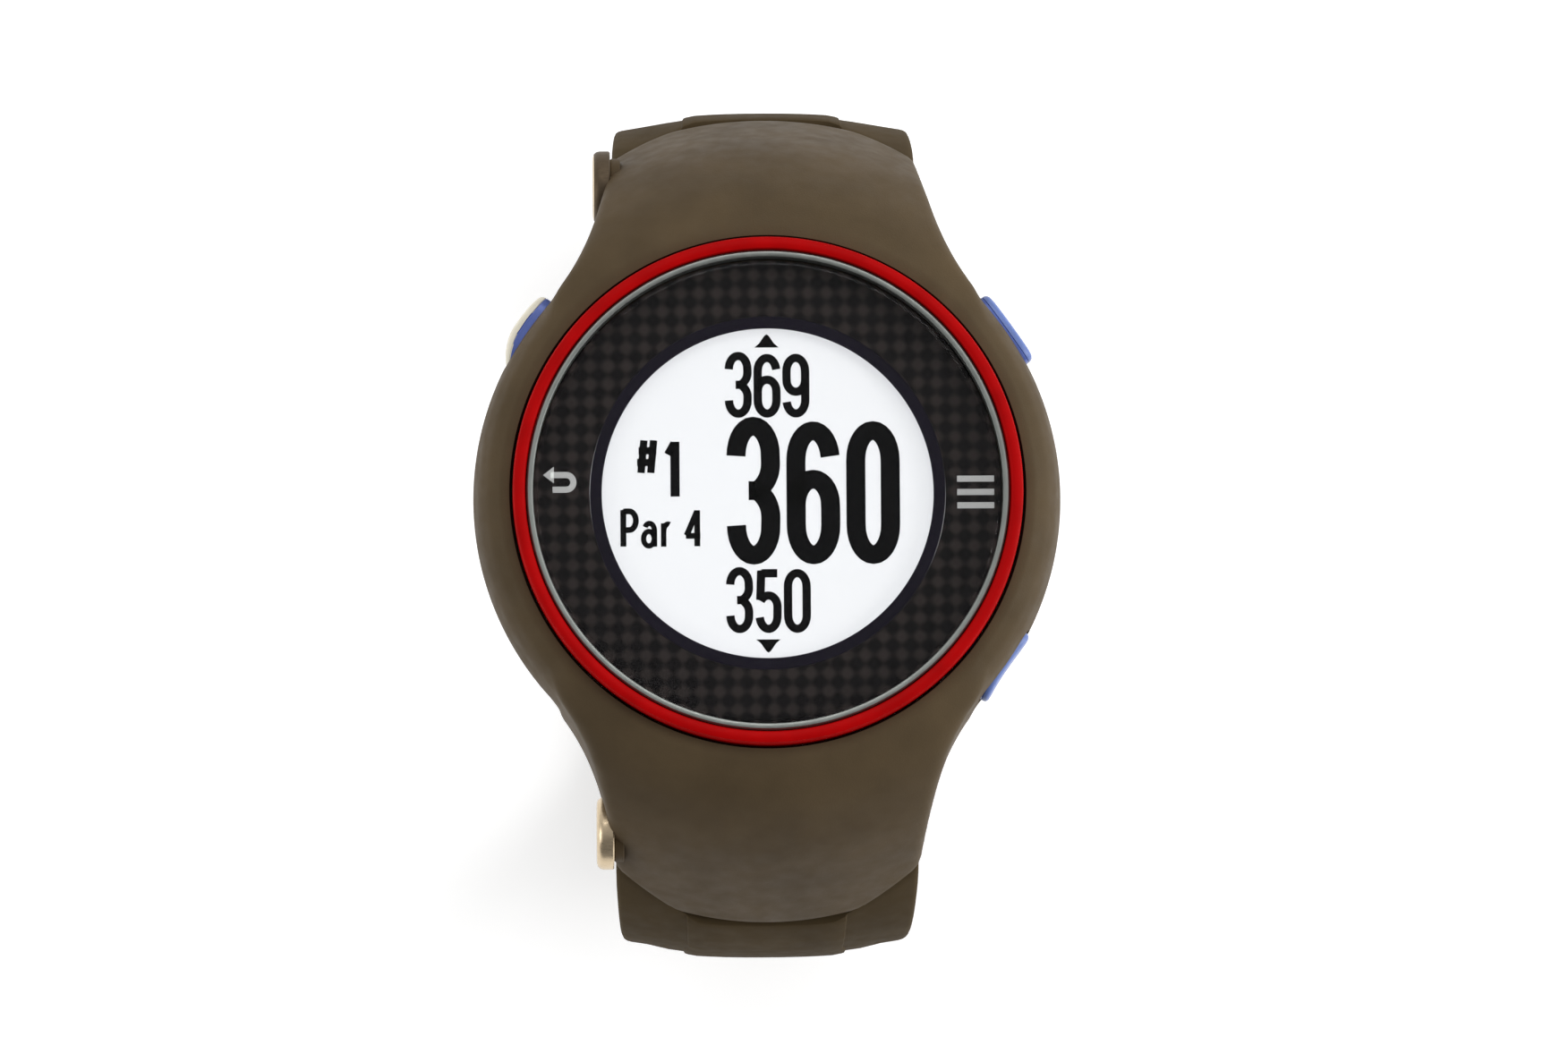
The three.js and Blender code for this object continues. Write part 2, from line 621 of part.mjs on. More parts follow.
add('buckle_frame', buckleFrame(), 'steel', buckle);
add('buckle_tongue', buckleTongue(), 'steel', buckle);
add('buckle_bar', rodX(BAR_R, -FRAME_HALF_WIDTH, FRAME_HALF_WIDTH), 'steel', buckle);

const buckleLength = bucklePath.getLength();
add('fixed_keeper', ontoPath(keeper(), bucklePath, 1 - FIXED_KEEPER_BACK / buckleLength), 'rubber');
add('free_keeper', ontoPath(keeper(), bucklePath, 1 - FREE_KEEPER_BACK / buckleLength), 'rubber');

export default watch;
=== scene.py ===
"""A golf GPS watch: fine meshes, materials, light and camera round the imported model."""

import json
from math import asin, atan2, copysign, cos, degrees, exp, hypot, pi, radians, sin, sqrt

import bmesh
import bpy
from mathutils import Matrix, Vector


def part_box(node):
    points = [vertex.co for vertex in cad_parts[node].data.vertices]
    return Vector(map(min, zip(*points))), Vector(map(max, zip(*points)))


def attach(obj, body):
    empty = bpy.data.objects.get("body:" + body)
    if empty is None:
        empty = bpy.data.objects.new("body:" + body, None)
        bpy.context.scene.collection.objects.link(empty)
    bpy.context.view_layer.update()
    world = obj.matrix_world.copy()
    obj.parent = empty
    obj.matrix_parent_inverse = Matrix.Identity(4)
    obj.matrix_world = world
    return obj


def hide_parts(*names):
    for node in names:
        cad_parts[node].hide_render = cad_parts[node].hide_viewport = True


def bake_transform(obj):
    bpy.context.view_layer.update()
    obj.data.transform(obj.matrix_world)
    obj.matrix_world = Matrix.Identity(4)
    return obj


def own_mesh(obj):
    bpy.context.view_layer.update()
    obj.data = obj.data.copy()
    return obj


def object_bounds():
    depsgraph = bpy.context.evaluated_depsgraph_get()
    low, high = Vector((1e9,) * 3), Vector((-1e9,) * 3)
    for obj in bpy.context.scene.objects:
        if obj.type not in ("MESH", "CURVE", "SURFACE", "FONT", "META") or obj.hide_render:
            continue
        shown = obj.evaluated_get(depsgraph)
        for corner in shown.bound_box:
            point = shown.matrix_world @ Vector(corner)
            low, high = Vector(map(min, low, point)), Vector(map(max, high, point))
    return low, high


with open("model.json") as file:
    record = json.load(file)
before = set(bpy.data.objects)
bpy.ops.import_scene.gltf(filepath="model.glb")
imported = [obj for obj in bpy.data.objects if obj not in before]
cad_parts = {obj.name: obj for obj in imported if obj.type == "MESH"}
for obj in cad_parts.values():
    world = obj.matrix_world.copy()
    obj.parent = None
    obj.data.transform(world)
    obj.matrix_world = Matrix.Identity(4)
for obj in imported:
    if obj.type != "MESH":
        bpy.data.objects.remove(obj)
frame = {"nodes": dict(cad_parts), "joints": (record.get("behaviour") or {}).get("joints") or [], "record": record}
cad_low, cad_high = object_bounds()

MM = 0.001  # lengths below are in millimetres, and meshes are in metres


def cad(node):
    """A CAD node's lowest and highest corner, in millimetres."""
    low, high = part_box(node)
    return Vector(low) / MM, Vector(high) / MM


def cad_middle(node):
    low, high = cad(node)
    return (low + high) / 2


# ---- driving dimensions, from the frame ----
TOP = cad_high.z / MM
CASE_R = cad_high.x / MM
REACH = cad_high.y / MM
REAR = cad("rear_cover")[0].z
REAR_DEPTH = TOP - REAR
BEZEL_R = cad("bezel_ring")[1].x
DIAL_TOP = cad("dial_ring")[1].z
PANEL_TOP = cad("display_panel")[1].z
COVER_R = cad("rear_cover")[1].x
BUTTON_Z = (cad("back_button")[0].z + cad("back_button")[1].z) / 2
PIN = cad_middle("upper_strap_pin")  # the mirror image is at -Y
PIN_HEAD_X = cad("upper_strap_pin")[0].x
BAR = cad_middle("buckle_bar")
TAIL_END = cad("lower_strap_band")[1].y

# ---- driving dimensions of the fine shapes ----
BEZEL_INNER = BEZEL_R - 1.0
WINDOW_R = 13.0
MASK_R = 13.95  # outside of the dark ring round the display
LIP = 1.35  # depth of the housing's top face, below the bezel
GROOVE_W = 0.26  # of the dark groove round the red ring
SEAM_DEPTH = 22.3  # depth of the hood's tip

BUTTON_HALF = 3.15  # half the length of a cap
BUTTON_HALF_HIGH = 1.6
BUTTON_GAP = 0.28  # round a cap, in its pocket
STEM_R = 0.7
STEM_ROOM = 1.1  # radius of the stem's bore
POCKET_FLOOR_R = 19.4

PIN_R = 0.75
PIN_ROOM = 1.0  # radius of the pin's bore
PIN_HEAD_R = 2.85
PIN_HEAD_SEAT = -12.1

STRAP_W = 11.9  # half the width at the hoods
STRAP_END_W = 9.8  # half the width at the ends
TAPER_Z = 48.0  # the strap narrows from here down
SKIN = 1.9  # the panel's outer face, from the strap's centre line
OVAL_Y, OVAL_Z, OVAL_UP = 11.0, 36.0, 24.6  # centre and upper half height of the strap's oval


# ---- mesh tools ----
SHARP = radians(35)  # edges bent more than this are drawn sharp
MERGE = 1e-7  # points closer than this, in metres, are one


def added(name, data):
    made = bpy.data.objects.new(name, data)
    bpy.context.collection.objects.link(made)
    return made


def mesh_of(name, shape, merge=False):
    """A mesh from a shape, which is a pair of points in millimetres and faces."""
    verts, faces = shape
    mesh = bpy.data.meshes.new(name)
    mesh.from_pydata([Vector(v) * MM for v in verts], [], faces)
    work = bmesh.new()
    work.from_mesh(mesh)
    if merge:
        bmesh.ops.remove_doubles(work, verts=work.verts, dist=MERGE)
    bmesh.ops.recalc_face_normals(work, faces=work.faces)
    work.to_mesh(mesh)
    work.free()
    return mesh


def piece(name, shape, slot, body, *nodes, material=None):
    """An object that wears the slot's finish or the material, and replaces the CAD nodes named."""
    mesh = mesh_of(name, shape, merge=True)
    mesh.polygons.foreach_set("use_smooth", [True] * len(mesh.polygons))
    mesh.set_sharp_from_angle(angle=SHARP)
    mesh.materials.append(material or FINISHES[slot])
    made = added(name, mesh)
    if body:
        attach(made, body)
    if nodes:
        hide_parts(*nodes)
    return made


def repaint(made, material, wanted):
    """Gives a second material to the faces that the test picks."""
    made.data.materials.append(material)
    for face in made.data.polygons:
        if wanted(face):
            face.material_index = 1


def grid_faces(rows, columns, close_rows=False, close_columns=False):
    faces = []
    for i in range(rows if close_rows else rows - 1):
        for j in range(columns if close_columns else columns - 1):
            a, b = i * columns, (i + 1) % rows * columns
            k = (j + 1) % columns
            faces.append((a + j, a + k, b + k, b + j))
    return faces


def skinned(rings, ends=True):
    """Closed rings of points joined in order; the ends are closed too, or meet each other."""
    count = len(rings[0])
    verts = [point for ring in rings for point in ring]
    faces = grid_faces(len(rings), count, close_rows=not ends, close_columns=True)
    if ends:
        faces += [tuple(range(count)), tuple(reversed(range(len(verts) - count, len(verts))))]
    return verts, faces


def spun(profile, sides):
    """A [radius, z] profile at every step of a turn about Z."""
    turns = [2 * pi * n / sides for n in range(sides)]
    return [[(r * cos(turn), r * sin(turn), z) for r, z in profile] for turn in turns]


def turned(profile, sides):
    """A closed [radius, z] profile, turned about Z."""
    return skinned(spun(profile, sides), ends=False)


def disc_stack(profile, sides=160):
    """A [radius, z] profile that starts and ends on the axis, turned about Z."""
    body = profile[1:-1]
    verts = [point for ring in spun(body, sides) for point in ring]
    verts += [(0, 0, profile[0][1]), (0, 0, profile[-1][1])]
    faces = grid_faces(sides, len(body), close_rows=True)
    high = len(verts) - 1
    for n in range(sides):
        a, b = n * len(body), (n + 1) % sides * len(body)
        faces.append((high - 1, a, b))
        faces.append((high, b + len(body) - 1, a + len(body) - 1))
    return verts, faces


def drum(radius, low, high, sides):
    """A plain cylinder about Z."""
    return disc_stack([(0, low), (radius, low), (radius, high), (0, high)], sides)


def prism(outline, low, high):
    """An [x, y] outline, from low to high along Z."""
    return skinned([[(x, y, z) for x, y in outline] for z in (low, high)])


def along_x(y=0, z=0):
    """Turns a shape about Z to lie along X, and moves it to a place on Y and Z."""
    return Matrix(((0, 0, 1, 0), (1, 0, 0, y), (0, 1, 0, z), (0, 0, 0, 1)))


def rod(radius, low, high, y, z, sides=48, bevel=0.0):
    """A rod along X, whose ends may be bevelled."""
    shape = drum(radius, low, high, sides)
    if bevel:
        shape = disc_stack([
            (0, low), (radius - bevel, low), (radius, low + bevel), (radius, high - bevel),
            (radius - bevel, high), (0, high),
        ], sides)
    return moved(shape, along_x(y, z))


def swept(path, section, normal, closed=False):
    """A [side, up] section carried along a flat path; up is the path's plane normal."""
    normal = Vector(normal)
    rings = []
    count = len(path)
    for i, point in enumerate(path):
        before = path[i - 1] if closed or i else path[i]
        after = path[(i + 1) % count] if closed or i < count - 1 else path[i]
        along = (Vector(after) - Vector(before)).normalized()
        side = normal.cross(along)
        rings.append([Vector(point) + side * a + normal * b for a, b in section])
    return skinned(rings, ends=not closed)


def rounded(half_x, half_y, radius, steps=5):
    """A rectangle with round corners, as [x, y] points."""
    points = []
    for corner, (sign_x, sign_y) in enumerate(((1, 1), (-1, 1), (-1, -1), (1, -1))):
        centre_x, centre_y = sign_x * (half_x - radius), sign_y * (half_y - radius)
        for n in range(steps + 1):
            turn = radians(90 * corner + 90 * n / steps)
            points.append((centre_x + radius * cos(turn), centre_y + radius * sin(turn)))
    return points


def moved(shape, matrix):
    verts, faces = shape
    return [matrix @ Vector(v) for v in verts], faces


def joined(*shapes):
    """Several shapes as one, which stay separate bodies."""
    verts, faces = [], []
    for more_verts, more_faces in shapes:
        shift = len(verts)
        verts += list(more_verts)
        faces += [tuple(v + shift for v in face) for face in more_faces]
    return verts, faces


def smooth_min(a, b, width):
    """The smaller of two values, rounded where they meet within the width."""
    overlap = max(width - abs(a - b), 0) / width
    return min(a, b) - overlap * overlap * width / 4


def shaped(target, tools, operation="DIFFERENCE"):
    """Cuts shapes out of a piece, or joins them to it, and keeps the result as its mesh."""
    scratch = []
    for n, shape in enumerate(tools):
        tool = added(f"tool_{n}", mesh_of(f"tool_{n}", shape))
        scratch.append(tool)
        modifier = target.modifiers.new("shape", "BOOLEAN")
        modifier.operation = operation
        modifier.object = tool
        modifier.solver = "EXACT"
    graph = bpy.context.evaluated_depsgraph_get()
    result = bpy.data.meshes.new_from_object(target.evaluated_get(graph))
    target.modifiers.clear()
    target.data = result
    result.set_sharp_from_angle(angle=SHARP)
    for tool in scratch:
        bpy.data.objects.remove(tool)


# ---- materials ----
NOISE_SPAN = (0.3, 0.7)  # the values that nearly all of the noise lies between


def set_sockets(node, **values):
    for socket, value in values.items():
        node.inputs[socket.replace("_", " ")].default_value = value


def add_node(tree, kind, **values):
    """A shader node with some of its sockets set."""
    made = tree.nodes.new(f"ShaderNode{kind}")
    set_sockets(made, **values)
    return made


class Finish:
    """A principled material with object-space noise for colour, gloss and relief."""

    def __init__(self, name, colour, roughness, metallic=0.0, **sockets):
        self.material = bpy.data.materials.new(name)
        self.material.use_nodes = True
        self.tree = self.material.node_tree
        self.link = self.tree.links.new
        self.shader = self.tree.nodes["Principled BSDF"]
        self.place = add_node(self.tree, "TexCoord").outputs["Object"]
        self.relief = None
        self.set(Base_Color=(*colour, 1), Roughness=roughness, Metallic=metallic, **sockets)

    def set(self, **sockets):
        set_sockets(self.shader, **sockets)

    def noise(self, size_mm, detail=3.0, stretch=None):
        """Noise whose features are about size_mm across."""
        noise = add_node(self.tree, "TexNoise", Scale=1 / (size_mm * MM), Detail=detail)
        where = self.place
        if stretch:
            mapping = add_node(self.tree, "Mapping", Scale=stretch)
            self.link(where, mapping.inputs["Vector"])
            where = mapping.outputs["Vector"]
        self.link(where, noise.inputs["Vector"])
        return noise.outputs["Fac"]

    def calculated(self, operation, *terms):
        """A value worked out from numbers and other nodes' outputs."""
        node = add_node(self.tree, "Math")
        node.operation = operation
        for socket, term in zip(node.inputs, terms):
            if isinstance(term, float):
                socket.default_value = term
            else:
                self.link(term, socket)
        return node.outputs["Value"]

    def colour_from(self, factor, first, second):
        """The first colour where a factor is low, and the second where it is high."""
        ramp = add_node(self.tree, "ValToRGB")
        for stop, place, colour in zip(ramp.color_ramp.elements, NOISE_SPAN, (first, second)):
            stop.position = place
            stop.color = (*colour, 1)
        self.link(factor, ramp.inputs["Fac"])
        self.link(ramp.outputs["Color"], self.shader.inputs["Base Color"])

    def gloss_from(self, factor, low, high):
        start, end = NOISE_SPAN
        spread = add_node(self.tree, "MapRange", From_Min=start, From_Max=end, To_Min=low, To_Max=high)
        self.link(factor, spread.inputs["Value"])
        self.link(spread.outputs["Result"], self.shader.inputs["Roughness"])

    def bump_from(self, height, depth_mm, strength=1.0):
        bump = add_node(self.tree, "Bump", Distance=depth_mm * MM, Strength=strength)
        self.link(height, bump.inputs["Height"])
        if self.relief:
            self.link(self.relief, bump.inputs["Normal"])
        self.relief = bump.outputs["Normal"]
        self.link(self.relief, self.shader.inputs["Normal"])


def tinted(colour, share):
    """A colour made lighter or darker."""
    return tuple(min(1, c * share) for c in colour)


def moulded(name, colour, roughness, grain_mm, depth_mm, shine=0.1):
    """Moulded plastic or rubber: cloudy colour, and a fine eroded grain."""
    finish = Finish(name, colour, roughness, Specular_IOR_Level=shine)
    finish.colour_from(finish.noise(5, 4), tinted(colour, 0.9), tinted(colour, 1.12))
    grain = finish.noise(grain_mm, 2)
    finish.gloss_from(finish.noise(1.5), roughness - 0.06, roughness + 0.08)
    finish.bump_from(grain, depth_mm, 0.8)
    return finish.material


def metal(name, colour, roughness, stretch=(1, 1, 14)):
    """Satin metal with fine drawn lines."""
    finish = Finish(name, colour, roughness, 1.0)
    lines = finish.noise(0.5, 3, stretch)
    finish.colour_from(finish.noise(2), tinted(colour, 0.9), tinted(colour, 1.06))
    finish.gloss_from(lines, roughness - 0.08, roughness + 0.1)
    finish.bump_from(lines, 0.004)
    return finish.material


def plain(name, colour, roughness, metallic=0.0, grain_mm=0.4, shine=0.5, glow=0.0):
    """Paint, print or smooth plastic: faint clouds, and a slight grain."""
    finish = Finish(name, colour, roughness, metallic, Specular_IOR_Level=shine)
    finish.set(Emission_Color=(*colour, 1), Emission_Strength=glow)
    finish.colour_from(finish.noise(2.5), tinted(colour, 0.88), tinted(colour, 1.1))
    finish.gloss_from(finish.noise(0.9), roughness - 0.05, roughness + 0.07)
    finish.bump_from(finish.noise(grain_mm), 0.01, 0.5)
    return finish.material


def woven(name):
    """Fibre weave under a clear coat: rows and columns of tows, darkest where two gaps cross."""
    pitch = 1.43  # millimetres from one tow to the next
    wave_repeats = 2 * pi / 20  # what a wave texture's scale is for one wave in one unit
    finish = Finish(name, (0.03, 0.027, 0.026), 0.4, Specular_IOR_Level=0.15)
    gaps = []
    for direction, first in (("X", -0.29), ("Y", 0.79)):  # first is the place of one tow
        phase = pi - 2 * pi * first / pitch
        wave = add_node(finish.tree, "TexWave", Scale=wave_repeats / (pitch * MM), Phase_Offset=phase)
        wave.bands_direction = direction
        finish.link(finish.place, wave.inputs["Vector"])
        gaps.append(wave.outputs["Fac"])
    hollow = finish.calculated("ADD", *gaps)
    fibres = finish.calculated("MULTIPLY", finish.noise(0.12, 2, (1, 6, 1)), 0.12)
    shade = finish.calculated("MULTIPLY_ADD", hollow, 0.5, fibres)
    finish.colour_from(shade, (0.060, 0.047, 0.044), (0.007, 0.005, 0.006))
    finish.bump_from(hollow, -0.012, 0.4)
    return finish.material


def screen(name):
    """The display's lit white film."""
    finish = Finish(name, (0.93, 0.94, 0.95), 0.45)
    finish.set(Emission_Color=(0.95, 0.97, 1.0, 1), Emission_Strength=1.05)
    finish.colour_from(finish.noise(0.12, 1), (0.92, 0.93, 0.94), (0.95, 0.96, 0.97))
    return finish.material


def clear(name):
    """Glass, as a thin dark film that is mostly let through, with faint smears."""
    finish = Finish(name, (0.001, 0.001, 0.001), 0.03, IOR=1.5, Alpha=0.12)
    finish.gloss_from(finish.noise(3), 0.02, 0.05)
    return finish.material


# Linear colours, as the shaders take them.
HOUSING = (0.076, 0.053, 0.028)
RUBBER = (0.06, 0.042, 0.021)
FINISHES = {name: make(name, *values) for make, name, *values in (
    (moulded, "housing_plastic", HOUSING, 0.6, 0.14, 0.012),
    (moulded, "strap_rubber", RUBBER, 0.75, 0.16, 0.014, 0.05),
    (moulded, "seal_rubber", (0.012, 0.012, 0.013), 0.7, 0.2, 0.01),
    (metal, "steel", (0.5, 0.5, 0.49), 0.3),
    (metal, "gold_contact", (0.75, 0.5, 0.16), 0.25),
    (plain, "red_metal", (0.36, 0.0005, 0.001), 0.5, 0.0, 0.15, 0.05),
    (metal, "silver_metal", (0.25, 0.265, 0.25), 0.42, (1, 1, 20)),
    (clear, "clear_glass"),
    (woven, "carbon_weave"),
    (plain, "mask_print", (0.014, 0.010, 0.026), 0.4, 0.0, 0.3, 0.12),
    (screen, "display_white"),
    (plain, "white_plastic", (0.8, 0.79, 0.74), 0.5),
    (plain, "black_plastic", (0.015, 0.015, 0.017), 0.55),
    (plain, "circuit_board", (0.013, 0.1, 0.04), 0.4),
    (plain, "antenna_ceramic", (0.58, 0.51, 0.38), 0.6),
    (metal, "foil", (0.6, 0.62, 0.64), 0.4),
    (plain, "flex_film", (0.45, 0.18, 0.03), 0.4),
    (plain, "button_metal", (0.085, 0.13, 0.40), 0.35, 0.2, 0.3),
    (metal, "pin_metal", (0.62, 0.5, 0.34), 0.32),
)}
INK = plain("display_ink", (0.003, 0.003, 0.004), 0.5, 0.0, 0.3, 0.05)
# painted shade: a dark colour for the housing's inner lip, standing in for the shade in the groove round the red
# ring
GROOVE_SHADE = plain("bezel_groove_painted_shade", (0.03, 0.021, 0.015), 0.7, 0.0, 0.3, 0.1)
# painted shade: a darker finish for the upper pin's rim, standing in for the shade it lies in; both pins are the
# same metal
RIM_SHADE = metal("pin_rim_painted_shade", (0.10, 0.075, 0.05), 0.55)
# the dial's white print is real; its glow is painted light that makes it brighter than the lamps do
PRINT_GLOW = plain("dial_print_painted_glow", (0.8, 0.81, 0.8), 0.5, glow=0.35)
CREAM = plain("button_face_cream", (0.72, 0.68, 0.56), 0.4)
PALE_BLUE = plain("button_face_blue", (0.105, 0.165, 0.42), 0.4)

slots = {part["node"]: part["material_slot"] for part in frame["record"]["subparts"]}
for node, shown in frame["nodes"].items():
    shown.data.materials.clear()
    shown.data.materials.append(FINISHES[slots[node]])


def line_through(points, at):
    """The height at a place on a smooth line through [place, height] points."""
    places = [p[0] for p in points]
    at = min(max(at, places[0]), places[-1])
    k = max(n for n in range(len(points) - 1) if places[n] <= at)
    slopes = [(b[1] - a[1]) / (b[0] - a[0]) for a, b in zip(points, points[1:])]

    def slope(n):
        if n in (0, len(points) - 1):
            return slopes[max(n - 1, 0)]
        before, after = slopes[n - 1], slopes[n]
        return 0 if before * after <= 0 else 2 * before * after / (before + after)

    run = places[k + 1] - places[k]
    t = (at - places[k]) / run
    return ((1 + 2 * t) * (1 - t) ** 2 * points[k][1] + t * (1 - t) ** 2 * run * slope(k)
            + t * t * (3 - 2 * t) * points[k + 1][1] + t * t * (t - 1) * run * slope(k + 1))


def smooth_step(t):
    """From 0 to 1, level at both ends."""
    t = min(max(t, 0), 1)
    return t * t * (3 - 2 * t)


def soft_ramp(t, width):
    """Nearly max(t, 0), rounded over about the width."""
    return (t + sqrt(t * t + width * width)) / 2


# ---- housing ----
# The face of the hoods, as [depth below the bezel, radius].
DOME = [(1.3, 20.7), (2.5, 23.1), (4.7, 25.4), (9, 28.1), (16, 30.5), (22, 32.1), (26, 32.9)]
# The side of the round case, as [depth, share of its radius].
FLANK = [(1.3, 0.915), (2.3, 0.954), (4, 0.985), (7, 1), (10, 0.989), (12.4, 0.958), (14.8, 0.9365)]
WALL = 1.3
BORE_R = COVER_R + 0.3
RIM_R = BORE_R + 0.6
POCKET_HALF = 10.2  # half the width of the pocket for the strap in each hood
POCKET_TOP = 8.6  # its depth below the bezel
POCKET_ROUND = 0.5
COLUMNS = 360
ROWS = 34  # down the outer face
INNER_ROWS = 7  # up each half of the inner face
ROW_CROWD = 1.25  # rows lie closer together near the bezel
HOOD_START, HOOD_BLEND = 38, 8  # degrees from 3 or 9 o'clock, and over which a hood fades in
HOOD_DRAFT_DEPTH, HOOD_DRAFT = 8, 0.0012  # a hood's sides draw in below a depth, per millimetre
SEAM_FLAT, SEAM_RISE = 5.6, 1.02  # the seam is level at the middle, and rises beside it
BACK_FLAT, BACK_DROP = 21.5, 0.62  # the back edge is level over the cover, and drops to the hoods
EDGE_SIDE, EDGE_LOW = 0.05, 0.22  # rounding of the lower edge


def hood_half_width(y):
    """Half the width of a hood, which flares out into the round case."""
    return 11.3 + 6.1 * exp((15 - y) / 6.6)


def hood_edge(turn):
    """Where the side of the hood lies along a direction from the dial's axis."""
    across, up = abs(cos(turn)), abs(sin(turn))
    near, far = CASE_R - 2, 80.0
    for _ in range(40):
        middle = (near + far) / 2
        if middle * across < hood_half_width(middle * up):
            near = middle
        else:
            far = middle
    return near


def hood_share(turn):
    """0 on the round flank, 1 on a hood."""
    steep = degrees(asin(abs(sin(turn))))
    return smooth_step((steep - HOOD_START) / HOOD_BLEND)


def side_radius(turn, depth):
    """Radius of the case's side, round or of a hood, along a direction."""
    share = hood_share(turn)
    flank = CASE_R * line_through(FLANK, depth)
    if share == 0:
        return flank
    hood = hood_edge(turn) * (1 - HOOD_DRAFT * max(depth - HOOD_DRAFT_DEPTH, 0))
    return flank + (hood - flank) * share


def seam_depth(x):
    """Depth of the seam between a hood and the strap."""
    return SEAM_DEPTH - SEAM_RISE * soft_ramp(abs(x) - SEAM_FLAT, 0.8)


def shell_radius(turn, depth):
    """Radius of the outer face, where the hoods' dome meets the side."""
    return smooth_min(line_through(DOME, depth), side_radius(turn, depth), 0.9)


def rim_depth(turn):
    """Depth of the housing's lower edge along a direction."""
    depth = REAR_DEPTH
    for _ in range(8):
        r = shell_radius(turn, depth)
        x, y = r * cos(turn), r * abs(sin(turn))
        under = REAR_DEPTH + BACK_DROP * soft_ramp(y - BACK_FLAT, 1.0) - 0.1
        depth = smooth_min(under, seam_depth(x), 0.4)
        depth = max(depth, REAR_DEPTH - 0.05)
    return depth


def housing_column(turn):
    """One closed [radius, depth] section of the housing."""
    low = rim_depth(turn)
    first = LIP + 0.1
    outer = []
    for n in range(ROWS + 1):
        depth = first + (low - 0.16 - first) * (n / ROWS) ** ROW_CROWD
        outer.append((shell_radius(turn, depth), depth))
    edge = shell_radius(turn, low)
    edge_in = max(edge - WALL, RIM_R + 0.02)
    outer += [(edge - EDGE_SIDE, low - EDGE_SIDE), (edge - EDGE_LOW, low)]
    pocket_share = 0
    if hood_share(turn) == 1:
        x = edge * cos(turn)
        pocket_share = smooth_step((POCKET_HALF + POCKET_ROUND - abs(x)) / POCKET_ROUND)

    def inner(share, pocket):
        """A place between the edge and the bore's rim, or where the strap's pocket is, in it."""
        flat = (edge_in + (RIM_R - edge_in) * share, low + (REAR_DEPTH - low) * share)
        return tuple(f + (p - f) * pocket_share for f, p in zip(flat, pocket))

    inside = [(edge_in, low - 0.02)]
    for n in range(1, INNER_ROWS + 1):
        t = n / INNER_ROWS
        depth = low + (POCKET_TOP - low) * t
        inside.append(inner(0.5 * t, (shell_radius(turn, depth) - WALL - 0.5, depth)))
    for n in range(1, INNER_ROWS + 1):
        t = n / INNER_ROWS
        inside.append(inner(0.5 + 0.5 * t, (RIM_R, POCKET_TOP + (REAR_DEPTH - POCKET_TOP) * t)))
    bore = [(BORE_R, REAR_DEPTH), (BORE_R, 4.4), (BEZEL_R + 0.12, 4.0), (BEZEL_R + 0.12, LIP + 0.6)]
    lip = [(BEZEL_R + GROOVE_W - 0.05, LIP + 0.4), (BEZEL_R + GROOVE_W, LIP + 0.06)]
    return outer + inside + bore + lip


def button_turns():
    """Each button's name and its direction from the dial's axis, which its travel runs along."""
    presses = [joint for joint in frame["joints"] if joint["name"].endswith("_press")]
    return {joint["child"]: atan2(-joint["axis"][1], -joint["axis"][0]) for joint in presses}


def button_place(turn):
    """Takes a button's own frame, whose X is outward, to its place on the case."""
    return Matrix.Translation((0, 0, BUTTON_Z)) @ Matrix.Rotation(turn, 4, "Z")


def top_housing():
    columns = []
    for n in range(COLUMNS):
        turn = 2 * pi * n / COLUMNS
        across, up = cos(turn), sin(turn)
        columns.append([(r * across, r * up, TOP - depth) for r, depth in housing_column(turn)])
    shell = piece("housing_shell", skinned(columns, ends=False), "housing_plastic", "case", "top_housing")
    cutters = []
    for turn in button_turns().values():
        slot = rounded(BUTTON_HALF + BUTTON_GAP, BUTTON_HALF_HIGH + BUTTON_GAP, 1.45, 6)
        pocket = moved(prism(slot, POCKET_FLOOR_R, CASE_R + 3), along_x())
        cutters.append(moved(pocket, button_place(turn)))
        cutters.append(moved(rod(STEM_ROOM, CASE_R - 8, POCKET_FLOOR_R + 1, 0, 0), button_place(turn)))
    bosses = []
    for side in (1, -1):
        place = (side * PIN.y, PIN.z)
        bosses.append(rod(PIN_HEAD_R - 0.6, PIN_HEAD_SEAT, PIN_HEAD_SEAT + 0.8, *place, 64, 0.1))
        cutters.append(rod(PIN_HEAD_R + 0.08, -20, PIN_HEAD_SEAT, *place, 64))
        cutters.append(rod(PIN_ROOM, -20, 11.3, *place, 24))
    shaped(shell, bosses, "UNION")
    shaped(shell, cutters)
    # painted shade on the lip faces inside the groove round the red ring
    repaint(shell, GROOVE_SHADE, lambda face: hypot(face.center.x, face.center.y) / MM < BEZEL_R + GROOVE_W
            and face.center.z / MM > DIAL_TOP - 2)


# ---- front ----
FINE = 256  # sides of the round pieces at the front


